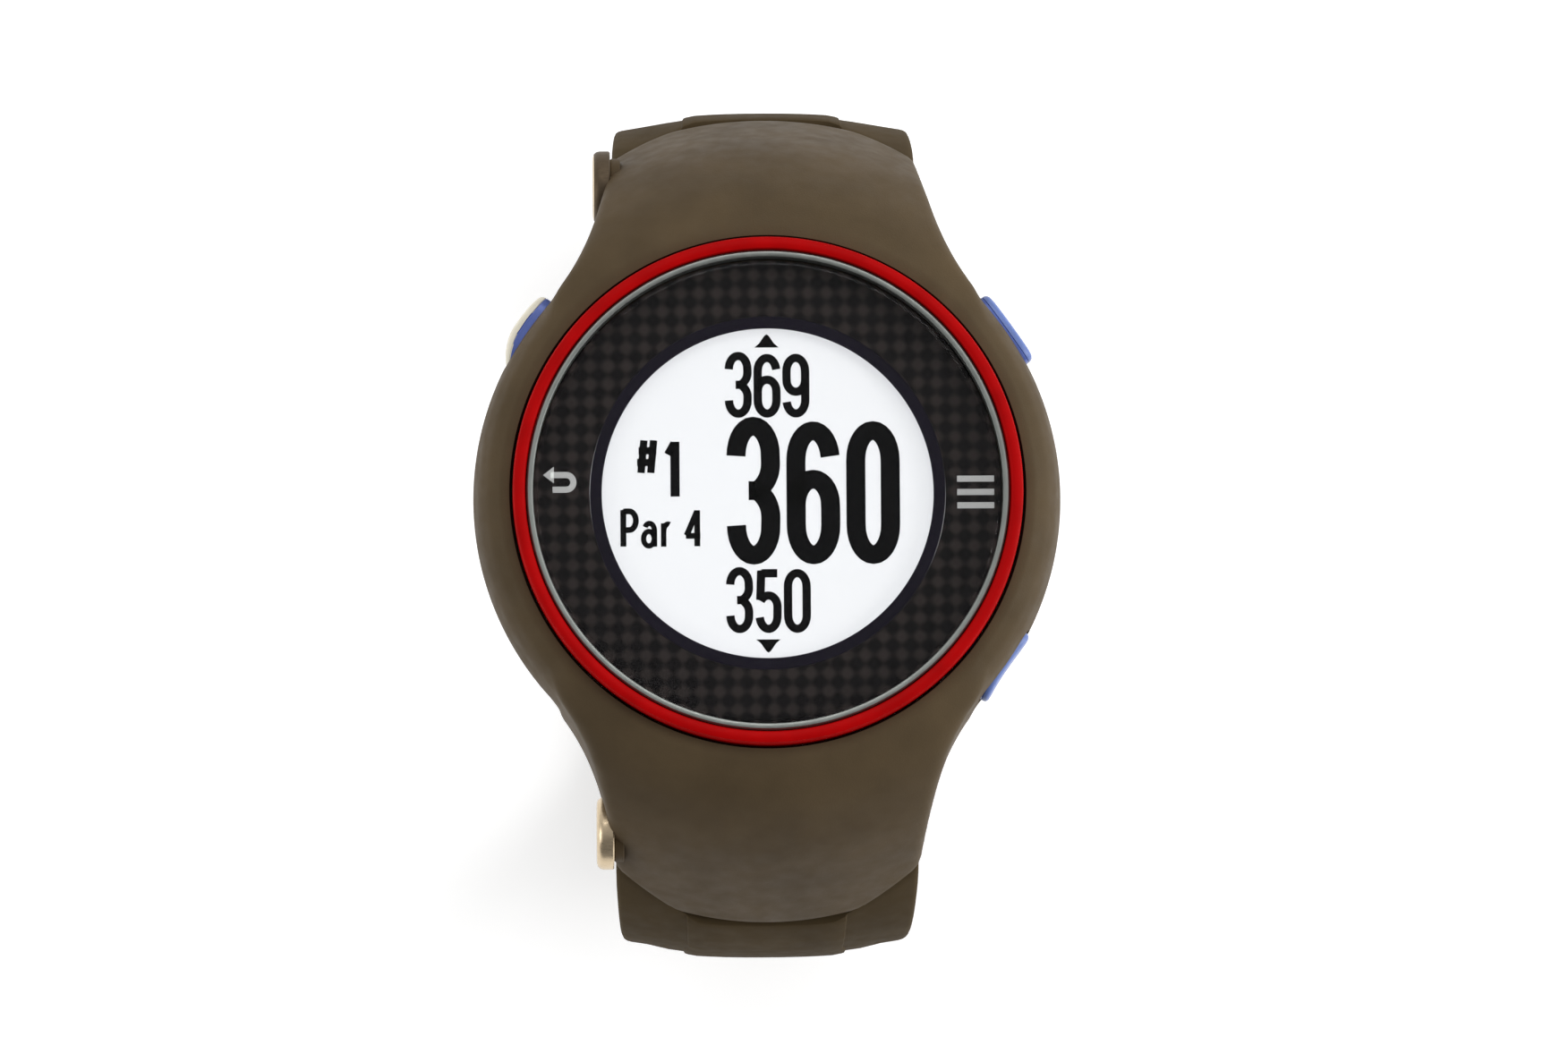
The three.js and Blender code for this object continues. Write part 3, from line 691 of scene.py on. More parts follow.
def front():
    """The red and silver rings, the glass, the touch film, the dial and the dark ring in it."""
    ring = [
        (BEZEL_INNER, DIAL_TOP - 0.6), (BEZEL_R, DIAL_TOP - 0.6), (BEZEL_R, TOP - 0.35),
        (BEZEL_R - 0.1, TOP - 0.12), (BEZEL_R - 0.32, TOP - 0.01), (BEZEL_R - 0.68, TOP),
        (BEZEL_INNER + 0.1, TOP - 0.1), (BEZEL_INNER, TOP - 0.3),
    ]
    piece("red_bezel", turned(ring, FINE), "red_metal", "case", "bezel_ring")
    low, high = cad("silver_ring")
    outer, inner = high.x + 0.12, high.x - 0.42
    ring = [
        (inner, low.z), (outer, low.z), (outer, high.z - 0.2), (outer - 0.12, high.z - 0.04),
        (inner + 0.2, high.z), (inner + 0.06, high.z - 0.06), (inner, high.z - 0.2),
    ]
    piece("silver_trim", turned(ring, FINE), "silver_metal", "case", "silver_ring")
    low, high = cad("glass")
    r = high.x + 0.2
    lens = [
        (0, low.z), (r - 0.1, low.z), (r, low.z + 0.1), (r, high.z - 0.35), (r - 0.08, high.z - 0.16),
        (r - 0.3, high.z - 0.04), (r - 0.6, high.z), (0, high.z),
    ]
    piece("cover_lens", disc_stack(lens, FINE), "clear_glass", "case", "glass")
    low, high = cad("touch_panel")
    piece("touch_film", drum(high.x, low.z, high.z, FINE), "clear_glass", "case", "touch_panel")
    low, high = cad("dial_ring")
    rim = high.x + 0.13
    face = [(MASK_R, low.z), (rim, low.z), (rim, high.z), (MASK_R, high.z)]
    piece("woven_dial", turned(face, FINE), "carbon_weave", "case", "dial_ring")
    face = [
        (WINDOW_R + 0.12, low.z), (MASK_R - 0.02, low.z), (MASK_R - 0.02, high.z + 0.01),
        (WINDOW_R + 0.06, high.z + 0.01), (WINDOW_R, high.z - 0.1),
    ]
    piece("window_frame", turned(face, FINE), "mask_print", "case", "display_mask")


# ---- display ----
def arc(x, y, half_x, half_y, start, end, steps=14):
    """Points on part of an oval, between two angles in degrees."""
    turns = [radians(start + (end - start) * n / steps) for n in range(steps + 1)]
    return [(x + half_x * cos(a), y + half_y * sin(a)) for a in turns]


def bent(x0, y0, x1, y1, x2, y2, steps=8):
    """Points on a curve that leaves towards its middle point."""
    points = []
    for n in range(1, steps + 1):
        t = n / steps
        a, b, c = (1 - t) ** 2, 2 * t * (1 - t), t * t
        points.append((a * x0 + b * x1 + c * x2, a * y0 + b * y1 + c * y2))
    return points


PRINT_LIFT = 0.005  # of the print over what it is on
PRINT_HIGH = 0.03
SAME_PLACE = 0.02
BOWL = 0.24  # height of a digit's round ends, as a share of the digit
SIX = (arc(0.5, 1 - BOWL, 0.5, BOWL, 8, 180) + arc(0.5, BOWL, 0.5, BOWL, 180, 360)
       + [(1, 0.38)] + arc(0.5, 0.40, 0.5, 0.21, 0, 180)[1:])
LOWER_BOWL = ([(0.36, 0.52), (0.62, 0.52)] + bent(0.62, 0.52, 1, 0.44, 1, 0.3)
              + arc(0.5, BOWL, 0.5, BOWL, 0, -180)[1:])
GLYPHS = {
    # Each sign is a list of strokes in a unit box. A stroke that ends where it starts is closed.
    "0": [arc(0.5, 1 - BOWL, 0.5, BOWL, 0, 180) + arc(0.5, BOWL, 0.5, BOWL, 180, 360) + [(1, 1 - BOWL)]],
    "1": [[(0.72, 1), (0.72, 0)], [(0.72, 0.97), (0.1, 0.76)]],
    "3": [LOWER_BOWL, [(x, 1.04 - y) for x, y in LOWER_BOWL]],
    "4": [[(0.78, 1), (0.78, 0)], [(0.78, 0.98), (0.05, 0.3)], [(0, 0.29), (1, 0.29)]],
    "5": [[(0.98, 1), (0.12, 1)], [(0.12, 1.05), (0.06, 0.52)],
          arc(0.5, 0.4, 0.48, 0.2, 150, 0) + arc(0.5, BOWL, 0.48, BOWL, 0, -172)[1:]],
    "6": [SIX],
    "9": [[(1 - x, 1 - y) for x, y in SIX]],
    "#": [[(0.36, 1), (0.2, 0)], [(0.86, 1), (0.7, 0)], [(0.08, 0.68), (1, 0.68)],
          [(0, 0.32), (0.92, 0.32)]],
    "P": [[(0, 1.02), (0, 0)],
          [(0, 0.98), (0.45, 0.98)] + arc(0.45, 0.72, 0.5, 0.26, 90, -90) + [(0, 0.46)]],
    "a": [arc(0.45, 0.22, 0.45, 0.2, 0, 360, 20), [(0.92, 0.46), (0.92, 0)],
          arc(0.5, 0.44, 0.42, 0.2, 0, 150)],
    "r": [[(0.1, 0.64), (0.1, 0)], arc(0.55, 0.4, 0.45, 0.22, 180, 70)],
}


def words(text, left, low, width, height, stroke, pitch=0):
    """Raised print of a row of signs, a pitch apart; the outer size of each is width by height."""
    shapes = []
    half = stroke / 2
    section = [(-half, 0), (half, 0), (half, PRINT_HIGH), (-half, PRINT_HIGH)]
    for n, sign in enumerate(text):
        for points in GLYPHS[sign]:
            path = []
            for x, y in points:
                at = Vector((left + n * pitch + half + x * (width - stroke),
                             low + half + y * (height - stroke), PANEL_TOP + PRINT_LIFT))
                if not path or (at - path[-1]).length > SAME_PLACE:
                    path.append(at)
            closed = (path[0] - path[-1]).length < SAME_PLACE
            if closed:
                path.pop()
            shapes.append(swept(path, section, (0, 0, 1), closed))
    return shapes


def marker(tip_y, base_y):
    """A small solid arrowhead with hollow sides."""
    half, rise = 0.95, tip_y - base_y
    right = [(half * across, base_y + rise * up) for across, up in ((1, 0), (0.62, 0.3), (0.2, 0.86))]
    outline = right + [(0, tip_y)] + [(-x, y) for x, y in reversed(right)]
    base = PANEL_TOP + PRINT_LIFT
    return prism(outline, base, base + PRINT_HIGH)


def display():
    low, high = cad("display_panel")
    r = high.x
    panel = [(0, low.z), (r, low.z), (r, high.z - 0.05), (r - 0.05, high.z), (0, high.z)]
    piece("display_disc", disc_stack(panel, FINE // 2), "display_white", "case", "display_panel")
    print_on = []
    for line in (
        ("369", -3.3, 6.05, 2.12, 5.05, 0.66, 2.26),
        ("360", -3.2, -5.55, 4.2, 11.3, 1.5, 4.69),
        ("350", -3.3, -10.95, 2.12, 5.05, 0.66, 2.26),
        ("#", -10.5, 1.45, 2.1, 3.15, 0.58),
        ("1", -8.2, -0.5, 1.55, 5.05, 0.72),
        ("P", -11.55, -4.3, 1.5, 3.3, 0.46),
        ("a", -9.95, -4.3, 1.35, 3.3, 0.42),
        ("r", -8.45, -4.3, 1.2, 3.3, 0.42),
        ("4", -6.65, -4.3, 1.6, 3.3, 0.46),
    ):
        print_on += words(*line)
    print_on += [marker(12.65, 11.6), marker(-12.5, -11.45)]
    piece("display_figures", joined(*print_on), "mask_print", "case", material=INK)


def dial_marks():
    """Three short bars at 3 o'clock, and a return arrow at 9 o'clock, printed on the dial."""
    base = DIAL_TOP + PRINT_LIFT
    half, high = 0.24, 0.02
    flat = [(-half, 0), (half, 0), (half, high), (-half, high)]
    bars = [[(14.85, n * 1.05), (17.75, n * 1.05)] for n in (-1, 0, 1)]
    hook = [(-17.0, 1.5), (-15.8, 1.5)] + arc(-15.8, 0.92, 0.58, 0.58, 90, -90) + [(-16.85, 0.34)]
    marks = [swept([Vector((x, y, base)) for x, y in line], flat, (0, 0, 1)) for line in bars + [hook]]
    marks.append(prism([(-17.6, 1.5), (-16.75, 2.15), (-16.75, 0.85)], base, base + high))
    piece("dial_marks", joined(*marks), "white_plastic", "case", material=PRINT_GLOW)


# ---- buttons ----
CAP_SQUARE = 0.55  # 1 makes a cap's outline an oval, and 0 a rectangle
CAP_ROOT = 21.3  # radius at which a cap's sides start to follow its face
CAP_FOOT = [(20.9, 0.35), (21.0, 0.06), (CAP_ROOT, 0.0)]  # its rings there: radius, and inset
STEM_SPAN = (16.1, 21.2)
FACE_DEEP = 0.56  # of the second colour, from the face inward
# How far each face lies below the cap's full reach: clockwise end, middle, anticlockwise end.
CAP_FALLS = {
    "back_button": (0.3, 0, 1.3), "power_button": (0.03, 0, 0.05), "menu_button": (0, 0.3, 0.22),
}
# A cap's rings from the groove round its face to its middle: distance below the face, and inset.
CAP_RINGS = [(0.66, 0.0), (0.6, 0.05), (0.54, 0.01), (0.34, 0.04), (0.18, 0.13), (0.08, 0.3),
             (0.03, 0.6), (0.01, 1.0), (0, 1.35), (0, 1.55)]


def cap_outline(half_y, half_z, sides=64):
    """A rectangle with very round corners, as [y, z] points that come in pairs above and below."""
    points = []
    for n in range(sides):
        turn = 2 * pi * (n + 0.5) / sides
        across, up = cos(turn), sin(turn)
        points.append((half_y * copysign(abs(across) ** CAP_SQUARE, across),
                       half_z * copysign(abs(up) ** CAP_SQUARE, up)))
    return points


def button(name, turn):
    """A cap whose face, in a second colour, lies level or falls away along the case, and its stem."""
    outward = Vector((cos(turn), sin(turn), 0))
    reach = max(v.co.dot(outward) for v in frame["nodes"][name].data.vertices) / MM
    clockwise, middle, anticlockwise = CAP_FALLS[name]

    def fallen(y):
        end = anticlockwise if y > 0 else clockwise
        return middle + (end - middle) * (y / BUTTON_HALF) ** 2

    rings = []
    for x, inset in CAP_FOOT + [(reach - back, inset) for back, inset in CAP_RINGS]:
        share = max(x - CAP_ROOT, 0) / (reach - CAP_ROOT)
        rings.append([(x - share * fallen(y), y, z)
                      for y, z in cap_outline(BUTTON_HALF - inset, BUTTON_HALF_HIGH - inset)])
    verts, faces = skinned(rings)
    faces.pop()  # strips across the face take the place of its one flat lid
    count, end = len(rings[0]), len(verts)
    first = end - count
    faces += [(first + n, first + n + 1, end - n - 2, end - n - 1) for n in range(count // 2 - 1)]
    stem = rod(STEM_R, *STEM_SPAN, 0, 0, 32, 0.12)
    place = button_place(turn)
    cap = piece(f"{name}_cap", moved(joined((verts, faces), stem), place), "button_metal", name, name)
    inward = place.inverted()

    def on_face(face):
        x, y, _ = inward @ (face.center / MM)
        return x > reach - FACE_DEEP - fallen(y)

    repaint(cap, CREAM if name == "back_button" else PALE_BLUE, on_face)


def button_spring(name, turn):
    """The coil behind a cap, fixed to the case; here it keeps its length when the cap is pressed."""
    wire, turns, steps, sides = 0.11, 2.5, 24, 8
    low, length, radius = POCKET_FLOOR_R + 0.3, 0.75, 1.3
    rings = []
    count = round(turns * steps)
    for n in range(count + 1):
        angle = 2 * pi * n / steps
        spoke = Vector((0, cos(angle), sin(angle)))
        middle = Vector((low + length * n / count, 0, 0)) + spoke * radius
        around = [2 * pi * k / sides for k in range(sides)]
        rings.append([middle + spoke * (wire * cos(a)) + Vector((wire * sin(a), 0, 0))
                      for a in around])
    place = button_place(turn)
    coil = piece(f"{name}_coil", moved(skinned(rings), place), "steel", "case", f"{name}_spring")
    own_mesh(coil)


# ---- strap pins ----
def strap_pin(name, side):
    """A screw pin with a broad slotted head; the upper one's rim carries painted shade."""
    head = [
        (0, PIN_HEAD_X), (2.35, PIN_HEAD_X), (2.62, PIN_HEAD_X + 0.08), (2.8, PIN_HEAD_X + 0.3),
        (PIN_HEAD_R, PIN_HEAD_X + 0.55), (PIN_HEAD_R, PIN_HEAD_SEAT - 0.1), (2.75, PIN_HEAD_SEAT),
        (PIN_R, PIN_HEAD_SEAT), (PIN_R, 10.8), (0.6, 11), (0, 11),
    ]
    place = along_x(side * PIN.y, PIN.z)
    made = piece(f"{name}_screw", moved(disc_stack(head, 64), place), "pin_metal", "case", name)
    slot = prism(rounded(2.1, 0.3, 0.28, 4), PIN_HEAD_X - 1, PIN_HEAD_X + 0.55)
    shaped(made, [moved(slot, place)])
    if side > 0:
        # painted shade on the upper pin's rim faces
        repaint(made, RIM_SHADE, lambda face: abs(face.normal.x) < 0.9)


# ---- strap ----
# The strap's centre line is two quarter ovals and a flat. A place on it is (centre, back),
# where back points up the strap towards the case and outward is at right angles to it.
REACH_IN = REACH - SKIN - OVAL_Y
PANEL_HALF = 6.4
FLANK_V = 1.2  # the outer face beside the panel, from the centre line
INNER_V = -1.3
NECK_HALF = 9.9
EYE_R = 1.6
BAR_ANGLE = 62  # round the lower oval from level, in degrees
BAND_END_ANGLE = 59
LOOP_R = 1.9  # the end of the strap round the bar
LOOP_SLOT = 3.0  # room in it for the tongue
BAR_R = 0.75
BAR_ROOM = BAR_R + 0.3
HOLE_R = 1.1
HOLE_COUNT = 8
HOLE_PITCH = 6
FIRST_HOLE = 9  # from the tail's end
NOSE = 6.4  # length of the tail's round end


def upper_place(z):
    """A place on the upper oval, at a height."""
    share = (z - OVAL_Z) / (OVAL_UP - SKIN)
    across = sqrt(1 - share * share)
    slope = REACH_IN * share / (OVAL_UP - SKIN) / across
    return Vector((0, OVAL_Y + REACH_IN * across, z)), Vector((0, -slope, 1)).normalized()


def lower_place(angle):
    """A place on the lower oval, at an angle from level in degrees."""
    turn = radians(angle)
    drop = OVAL_Z - SKIN
    at = Vector((0, OVAL_Y + REACH_IN * cos(turn), OVAL_Z - drop * sin(turn)))
    return at, Vector((0, REACH_IN * sin(turn), drop * cos(turn))).normalized()


def flat_place(y):
    """A place on the flat that the watch stands on."""
    return Vector((0, y, SKIN)), Vector((0, 1, 0))


def strap_half_width(z):
    return min(STRAP_W, STRAP_END_W + (STRAP_W - STRAP_END_W) * z / TAPER_Z)


def half_section(width, panel=1.0):
    """[x, outward] points from the middle of the outer face to the middle of the inner face."""
    rise = (SKIN - FLANK_V) * panel
    crown = [(PANEL_HALF * t, FLANK_V + rise * (1 - 0.34 * t ** 2.5))
             for t in (0, 0.25, 0.5, 0.7, 0.84)]
    step = [(PANEL_HALF + x, FLANK_V + rise * lift)
            for x, lift in ((-0.3, 0.58), (-0.1, 0.48), (0, 0.25), (0.2, 0.2), (1.2, 0))]
    edge = [(width - x, v) for x, v in (
        (1.9, 0.8), (0.6, 0.6), (0.3, 0.52), (0.1, 0.4), (0, 0.2), (0, -0.3), (0, -0.85), (0.1, -1.1),
        (0.35, -1.26), (1, INNER_V), (2.2, INNER_V), (2.6, -1.22),
    )]
    inside = [(3, -1.18), (0, -1.17)]
    return crown + step + edge + inside


def thickened(half, thick, share=1):
    """A half section whose faces are both drawn to a distance from the centre line."""
    return [(x * share, v * thick / (FLANK_V if v > 0 else -INNER_V)) for x, v in half]


def ring_at(place_of, half):
    """A full section, mirrored about X = 0; place_of gives the place on the centre line for an x."""
    points = []
    for x, v in half + [(-x, v) for x, v in reversed(half[1:-1])]:
        centre, back = place_of(x)
        points.append(centre + Vector((0, back.z, -back.y)) * v + Vector((x, 0, 0)))
    return points


def level_ring(place, half):
    """A full section at one place on the centre line."""
    return ring_at(lambda x: place, half)


def under_hood(point):
    """Draws a point of the neck in, so that it clears the inside of the hood."""
    room = line_through(DOME, TOP - point.z) - WALL - 0.7
    if hypot(point.x, point.y) > room:
        point.y = sqrt(room * room - point.x * point.x)
    return point


def eye_rings():
    """The end of the strap in the hood: a bulb round the pin, narrowing the neck's corners."""
    rings = []
    for lift in (1.0, 0.92, 0.7, 0.36, 0, -0.36, -0.7):
        thick = EYE_R * sqrt(max(1 - lift * lift, 0.02))
        width = 4.2 if lift > -0.5 else 6.0
        half = thickened(half_section(STRAP_W, 0), thick, width / STRAP_W)
        place = Vector((0, PIN.y, PIN.z + EYE_R * lift)), Vector((0, 0, 1))
        rings.append([under_hood(p) for p in level_ring(place, half)])
    return rings


def neck_rings():
    """Down the hood's pocket to just above the seam, whose line the last rows follow."""
    rings = []
    for share in (0.35, 0.7, 0.93, 1.0):
        width = NECK_HALF * min(0.72 + 0.4 * share, 1)
        half = [(x * width / STRAP_W, v) for x, v in half_section(STRAP_W, 0)]
        top = TOP - PIN.z + EYE_R

        def place(x):
            depth = top + (seam_depth(x) - 0.2 - top) * share
            centre, back = upper_place(TOP - depth)
            return centre - Vector((0, 0.9 * (1 - share), 0)), back

        rings.append([under_hood(p) for p in ring_at(place, half)])
    return rings


def seam_rings():
    """The shoulder under the seam, flush with the hood, and on down to the lower oval."""
    rings = []
    for below, skin in ((0.07, 0.24), (0.12, 0.07), (0.3, 0)):
        half = [(x, v - skin if v > 0 else v) for x, v in half_section(STRAP_W)]
        rings.append(ring_at(lambda x: upper_place(TOP - seam_depth(x) - below), half))
    rows = 10
    for n in range(1, rows + 1):
        share = n / rows

        def place(x):
            top = TOP - seam_depth(x) - 0.3
            return upper_place(top + (OVAL_Z - top) * share)

        rings.append(ring_at(place, half_section(STRAP_W)))
    for ring in rings:
        for point in ring:
            point.x *= strap_half_width(point.z) / STRAP_W
    return rings


def oval_rings(last, step=3.0):
    """Down the lower oval, to an angle from level."""
    count = round(last / step)
    places = [lower_place(last * n / count) for n in range(1, count + 1)]
    return [level_ring(place, half_section(strap_half_width(place[0].z))) for place in places]


def tail_rings():
    """Along the flat, to the tail's round end."""
    flat = OVAL_Y + TAIL_END - NOSE
    width = strap_half_width(SKIN)
    rings = [level_ring(flat_place(OVAL_Y - flat * n / 5), half_section(width)) for n in range(1, 6)]
    for share in (0.12, 0.25, 0.4, 0.55, 0.68, 0.79, 0.88, 0.94, 0.98, 0.997):
        narrow = (1 - share ** 2.3) ** (1 / 2.1)
        left = (1 - share) * NOSE
        thin = sqrt(1 - (1 - left / 0.9) ** 2) if left < 0.9 else 1
        half = [(x * narrow, (v + 0.1) * (0.25 + 0.75 * thin) - 0.1) for x, v in half_section(width)]
        rings.append(level_ring(flat_place(-TAIL_END + left), half))
    return rings


def buckle_rings():
    """The panel fades out, and the end swells round the bar."""
    rings = []
    for angle, panel in ((50, 1), (52, 0.85), (53.5, 0.5), (55, 0.15), (56.4, 0)):
        place = lower_place(angle)
        rings.append(level_ring(place, half_section(strap_half_width(place[0].z), panel)))
    centre, back = lower_place(BAR_ANGLE)
    for before in (1.78, 1.5, 1.1, 0.6, 0, -0.6, -1.1, -1.45, -1.7, -1.84, -1.895):
        thick = sqrt(LOOP_R ** 2 - before ** 2)
        if before > 0:
            thick = max(thick, 1.3)
        width = strap_half_width(centre.z) - (0.25 if before < -1.4 else 0)
        rings.append(level_ring((centre + back * before, back), thickened(half_section(width, 0), thick)))
    return rings


def lofted(rings, side):
    """A skin over the rings, mirrored about Y = 0 where side is -1."""
    return skinned([[(p.x, p.y * side, p.z) for p in ring] for ring in rings])


def path_places(last_angle, flat_to=None):
    """Closely spaced places down the band, for measuring along it."""
    places = [lower_place(last_angle * n / 300) for n in range(301)]
    if flat_to is not None:
        places += [flat_place(OVAL_Y + (flat_to - OVAL_Y) * n / 100) for n in range(1, 101)]
    return places


def place_before_end(places, distance):
    """The place that lies a distance back from the last one."""
    run = 0
    for n in range(len(places) - 1, 0, -1):
        run += (places[n][0] - places[n - 1][0]).length
        if run >= distance:
            return places[n - 1]
    raise ValueError("the band is shorter than that")


def on_strap(centre, back, side=1):
    """Takes X across, Y up the strap and Z outward to a place on the strap."""
    outward = Vector((0, back.z, -back.y))
    return Matrix((
        (1, 0, 0, centre.x),
        (0, back.y * side, outward.y * side, centre.y * side),
        (0, back.z, outward.z, centre.z),
        (0, 0, 0, 1),
    ))


def tail_half():
    rings = eye_rings() + neck_rings() + seam_rings() + oval_rings(90) + tail_rings()
    strap = piece("strap_tail_half", lofted(rings, -1), "strap_rubber", None,
                  "lower_strap_root", "lower_strap_band")
    places = path_places(90, -TAIL_END)
    tools = [rod(PIN_ROOM, -20, 20, -PIN.y, PIN.z, 24)]
    for n in range(HOLE_COUNT):
        centre, back = place_before_end(places, FIRST_HOLE + n * HOLE_PITCH)
        tools.append(moved(drum(HOLE_R, -4, 4, 32), on_strap(centre, back, -1)))
    shaped(strap, tools)
    flexes(strap)


def buckle_half():
    rings = eye_rings() + neck_rings() + seam_rings() + oval_rings(48) + buckle_rings()
    strap = piece("strap_buckle_half", lofted(rings, 1), "strap_rubber", None,
                  "upper_strap_root", "upper_strap_band")
    shaped(strap, [
        rod(PIN_ROOM, -20, 20, PIN.y, PIN.z, 24),
        rod(BAR_ROOM, -20, 20, BAR.y, BAR.z, 24),
        rod(LOOP_R + 0.5, -LOOP_SLOT / 2, LOOP_SLOT / 2, BAR.y, BAR.z, 32),
    ])
    flexes(strap)


def flexes(strap):
    """Bakes the strap's transform into its mesh."""
    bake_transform(strap)


# ---- buckle and keepers ----
FRAME_TILT = 12
FRAME_HALF = 12.3
FRAME_LENGTH = 13.4
RAIL = 1.8
KNUCKLE_R = 1.6
KNUCKLE_BORE_R = BAR_R + 0.12
TONGUE_HALF = 0.95
KEEPER_WALL = 1.0
KEEPER_LENGTH = 4.5
KEEPER_IN, KEEPER_OUT = -1.9, 5.3  # the room inside a keeper, outward from the centre line
KEEPER_HALF = STRAP_W - 0.4
# Each keeper's body, and how far it lies from the band's end.
KEEPERS = {"fixed_keeper": ("upper_strap", 3.1), "free_keeper": ("free_keeper", 8.6)}


def buckle_place():
    return Matrix.Translation(BAR) @ Matrix.Rotation(radians(FRAME_TILT), 4, "X")


def buckle_rod(*sizes):
    """A rod about the buckle's bar."""
    return moved(rod(*sizes), buckle_place())


def buckle_frame():
    side, far, corner = FRAME_HALF - RAIL / 2, FRAME_LENGTH - RAIL / 2, 2.2
    left = [(-side, -0.2), (-side, -1.5), (-side, -4), (-side, -7)]
    turn = arc(-side + corner, -far + corner, corner, corner, 180, 270, 10)
    path = left + turn + [(0, -far)]
    path += [(-x, y) for x, y in reversed(path[:-1])]
    rail = swept([Vector((x, y, 0)) for x, y in path], rounded(RAIL / 2, 1.0, 0.5, 4), (0, 0, 1))
    made = piece("buckle_loop", moved(rail, buckle_place()), "steel", "buckle_frame", "buckle_frame")
    low, high = FRAME_HALF - RAIL - 0.2, FRAME_HALF
    shaped(made, [buckle_rod(KNUCKLE_R, *ends, 0, 0, 48, 0.25) for ends in ((low, high), (-high, -low))],
           "UNION")
    shaped(made, [buckle_rod(KNUCKLE_BORE_R, -20, 20, 0, 0, 32)])
    bar = buckle_rod(BAR_R, -FRAME_HALF + 0.02, FRAME_HALF - 0.02, 0, 0, 40, 0.12)
    piece("spring_bar", bar, "steel", "upper_strap", "buckle_bar")


def buckle_tongue():
    path = [(-0.9, -0.35), (-2.4, -0.75), (-4.5, -1.0), (-8, -1.32), (-11, -1.7), (-12.6, -1.82),
            (-13.35, -1.72)]
    blade = swept([Vector((0, y, z)) for y, z in path], rounded(0.5, TONGUE_HALF, 0.32, 4), (1, 0, 0))
    made = piece("buckle_prong", moved(blade, buckle_place()), "steel", "buckle_tongue", "buckle_tongue")
    shaped(made, [buckle_rod(KNUCKLE_R, -1.2, 1.2, 0, 0, 48, 0.2)], "UNION")
    shaped(made, [buckle_rod(KNUCKLE_BORE_R, -20, 20, 0, 0, 32)])


def keeper(name, body, distance):
    centre, back = place_before_end(path_places(BAND_END_ANGLE), distance)
    middle = (KEEPER_IN + KEEPER_OUT) / 2
    half = (KEEPER_OUT - KEEPER_IN) / 2
    loop = rounded(KEEPER_HALF + KEEPER_WALL / 2, half + KEEPER_WALL / 2, 1.5, 8)
    path = [Vector((x, 0, middle + z)) for x, z in loop]
    shape = swept(path, rounded(KEEPER_WALL / 2, KEEPER_LENGTH / 2, 0.36, 4), (0, 1, 0), closed=True)
    piece(f"{name}_loop", moved(shape, on_strap(centre, back)), "strap_rubber", body, name)


# ---- back ----
def rear_cover():
    """The back plate, with a shallow step round its middle, contact holes and sunk screw holes."""
    low, high = REAR, cad("rear_cover")[1].z
    face = [
        (0, low + 0.05), (13.2, low + 0.05), (13.3, low + 0.2), (13.7, low + 0.2), (13.8, low),
        (COVER_R - 0.3, low), (COVER_R - 0.08, low + 0.08), (COVER_R, low + 0.3), (COVER_R, high),
        (0, high),
    ]
    cover = piece("back_plate", disc_stack(face), "housing_plastic", "case", "rear_cover")
    tools = []
    for n in range(1, 5):
        for node, radius, depth in ((f"charge_contact_{n}", 1.2, 3), (f"rear_screw_{n}", 0.9, 3),
                                    (f"rear_screw_{n}", 1.4, 0.8)):
            place = Matrix.Translation((*cad_middle(node).xy, 0))
            tools.append(moved(drum(radius, low - 1, low + depth, 40), place))
    shaped(cover, tools)


# ---- assembly ----
top_housing()
front()
display()
dial_marks()
for button_name, button_turn in button_turns().items():
    button(button_name, button_turn)
    button_spring(button_name, button_turn)
for pin_name, pin_side in (("upper_strap_pin", 1), ("lower_strap_pin", -1)):
    strap_pin(pin_name, pin_side)
tail_half()
buckle_half()
buckle_frame()
buckle_tongue()
for keeper_name, (keeper_body, keeper_back) in KEEPERS.items():
    keeper(keeper_name, keeper_body, keeper_back)
rear_cover()


# ---- floor, light and camera ----
# Places and sizes in this section are in metres, and powers in watts.
def floor():
    half, low = 1.6, -0.0004
    corners = [(-half, -half, low), (half, -half, low), (half, half, low), (-half, half, low)]
    mesh = bpy.data.meshes.new("floor")
    mesh.from_pydata(corners, [], [(0, 1, 2, 3)])
    surface = Finish("floor_paper", (0.9, 0.9, 0.9), 0.9, Specular_IOR_Level=0.1,
                     Emission_Color=(1, 1, 1, 1), Emission_Strength=0.38)
    surface.colour_from(surface.noise(60), (0.88, 0.88, 0.88), (0.92, 0.92, 0.92))
    mesh.materials.append(surface.material)
    added("floor", mesh)


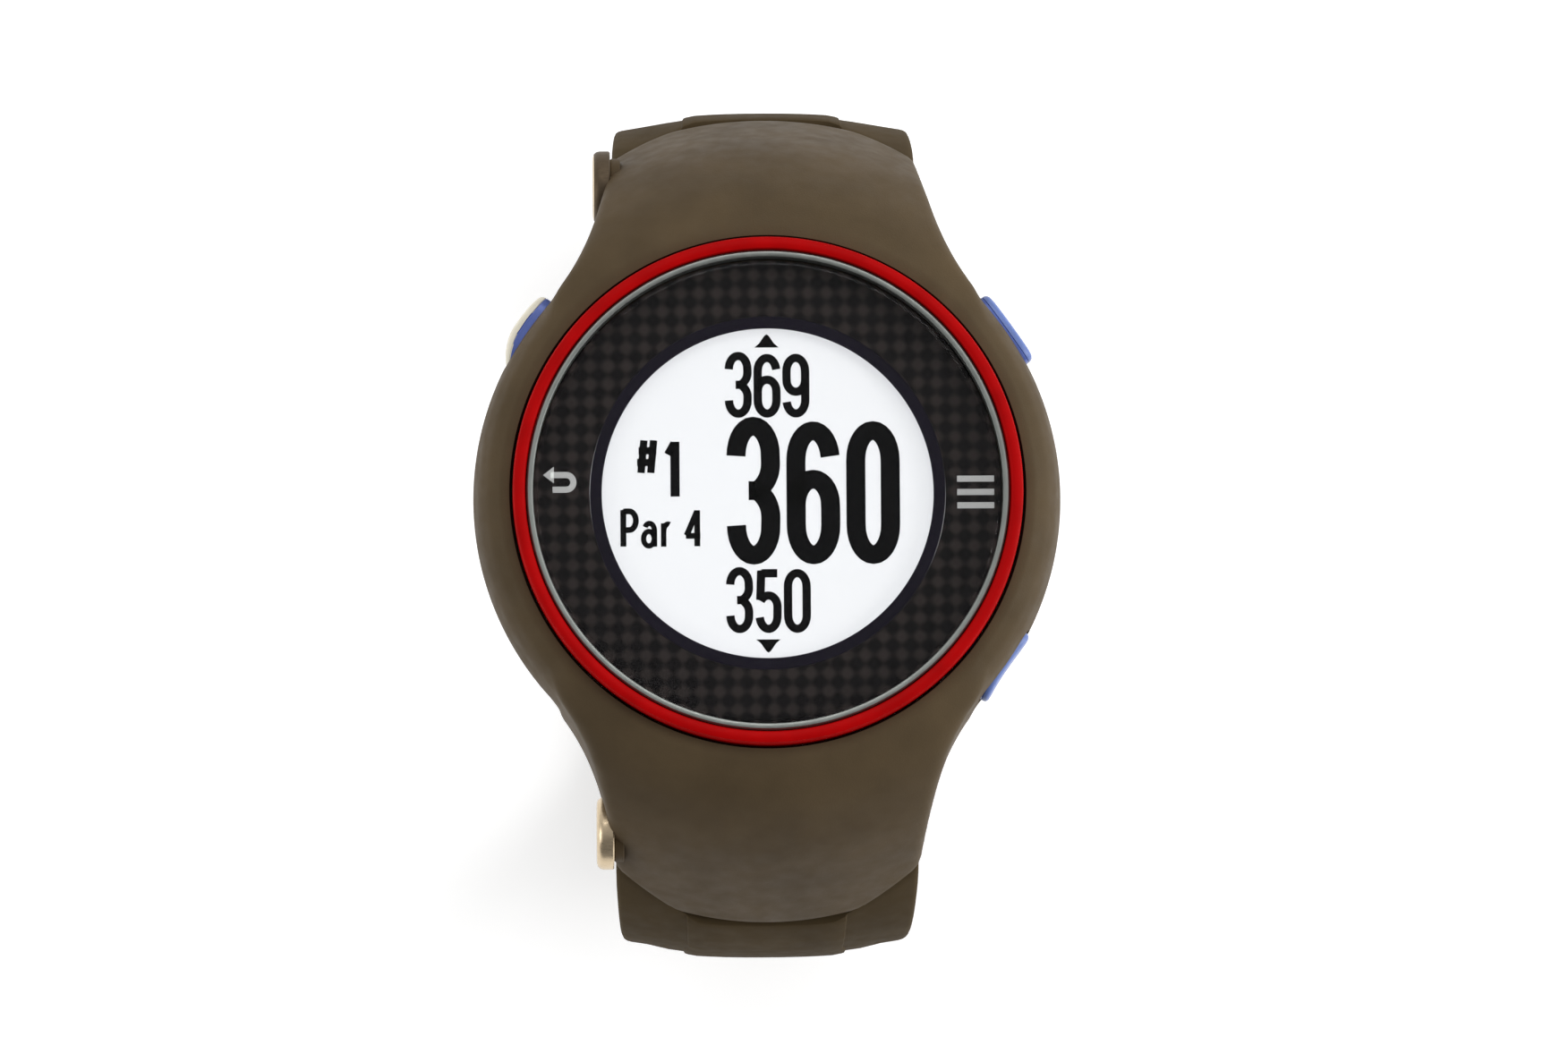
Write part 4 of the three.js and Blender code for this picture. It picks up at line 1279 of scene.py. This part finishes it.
def lamp(name, place, size, power):
    """A soft rectangular lamp, aimed at the watch."""
    light = bpy.data.lights.new(name, "AREA")
    light.shape = "RECTANGLE"
    light.size, light.size_y = size
    light.energy = power
    made = added(name, light)
    made.location = place
    aim = Vector((0, 0, 0.05)) - Vector(place)
    made.rotation_mode = "QUATERNION"
    made.rotation_quaternion = aim.to_track_quat("-Z", "Y")
    made.visible_camera = False


def studio():
    """A white room that is brighter towards 12 o'clock, and three lamps."""
    world = bpy.data.worlds.new("studio")
    world.use_nodes = True
    tree = world.node_tree
    background = tree.nodes["Background"]
    background.inputs["Color"].default_value = (1, 1, 1, 1)
    parts = add_node(tree, "SeparateXYZ")
    tree.links.new(add_node(tree, "TexCoord").outputs["Generated"], parts.inputs["Vector"])
    fall = add_node(tree, "MapRange", From_Min=-0.5, From_Max=0.9, To_Min=0.2, To_Max=0.95)
    tree.links.new(parts.outputs["Y"], fall.inputs["Value"])
    tree.links.new(fall.outputs["Result"], background.inputs["Strength"])
    bpy.context.scene.world = world
    lamp("overhead", (0.1, 0.5, 0.9), (0.7, 0.3), 2.2)
    lamp("right", (0.8, -0.05, 0.4), (0.4, 0.6), 5.6)
    lamp("left", (-0.8, -0.15, 0.45), (0.4, 0.6), 2.4)


def camera():
    """Over the glass, leaning a little to 6 o'clock and to 9 o'clock, with a long lens."""
    lean_x, lean_y, roll = (radians(a) for a in (0.9, 6.75, -0.4))
    away = Vector((-sin(lean_x), -sin(lean_y), 0))
    away.z = sqrt(1 - away.x ** 2 - away.y ** 2)
    aim = Vector((1.24, -2.5, TOP - 1)) * MM
    right = Vector((0, 1, 0)).cross(away).normalized()
    facing = Matrix((right, away.cross(right), away)).transposed()
    view = bpy.data.cameras.new("camera")
    view.sensor_width = 36
    view.lens = 733
    view.clip_start, view.clip_end = 0.01, 10
    made = added("camera", view)
    made.location = aim + away * 2.5
    made.rotation_mode = "QUATERNION"
    made.rotation_quaternion = (Matrix.Rotation(roll, 3, away) @ facing).to_quaternion()
    bpy.context.scene.camera = made


floor()
studio()
camera()
bpy.context.scene.view_settings.view_transform = "Standard"
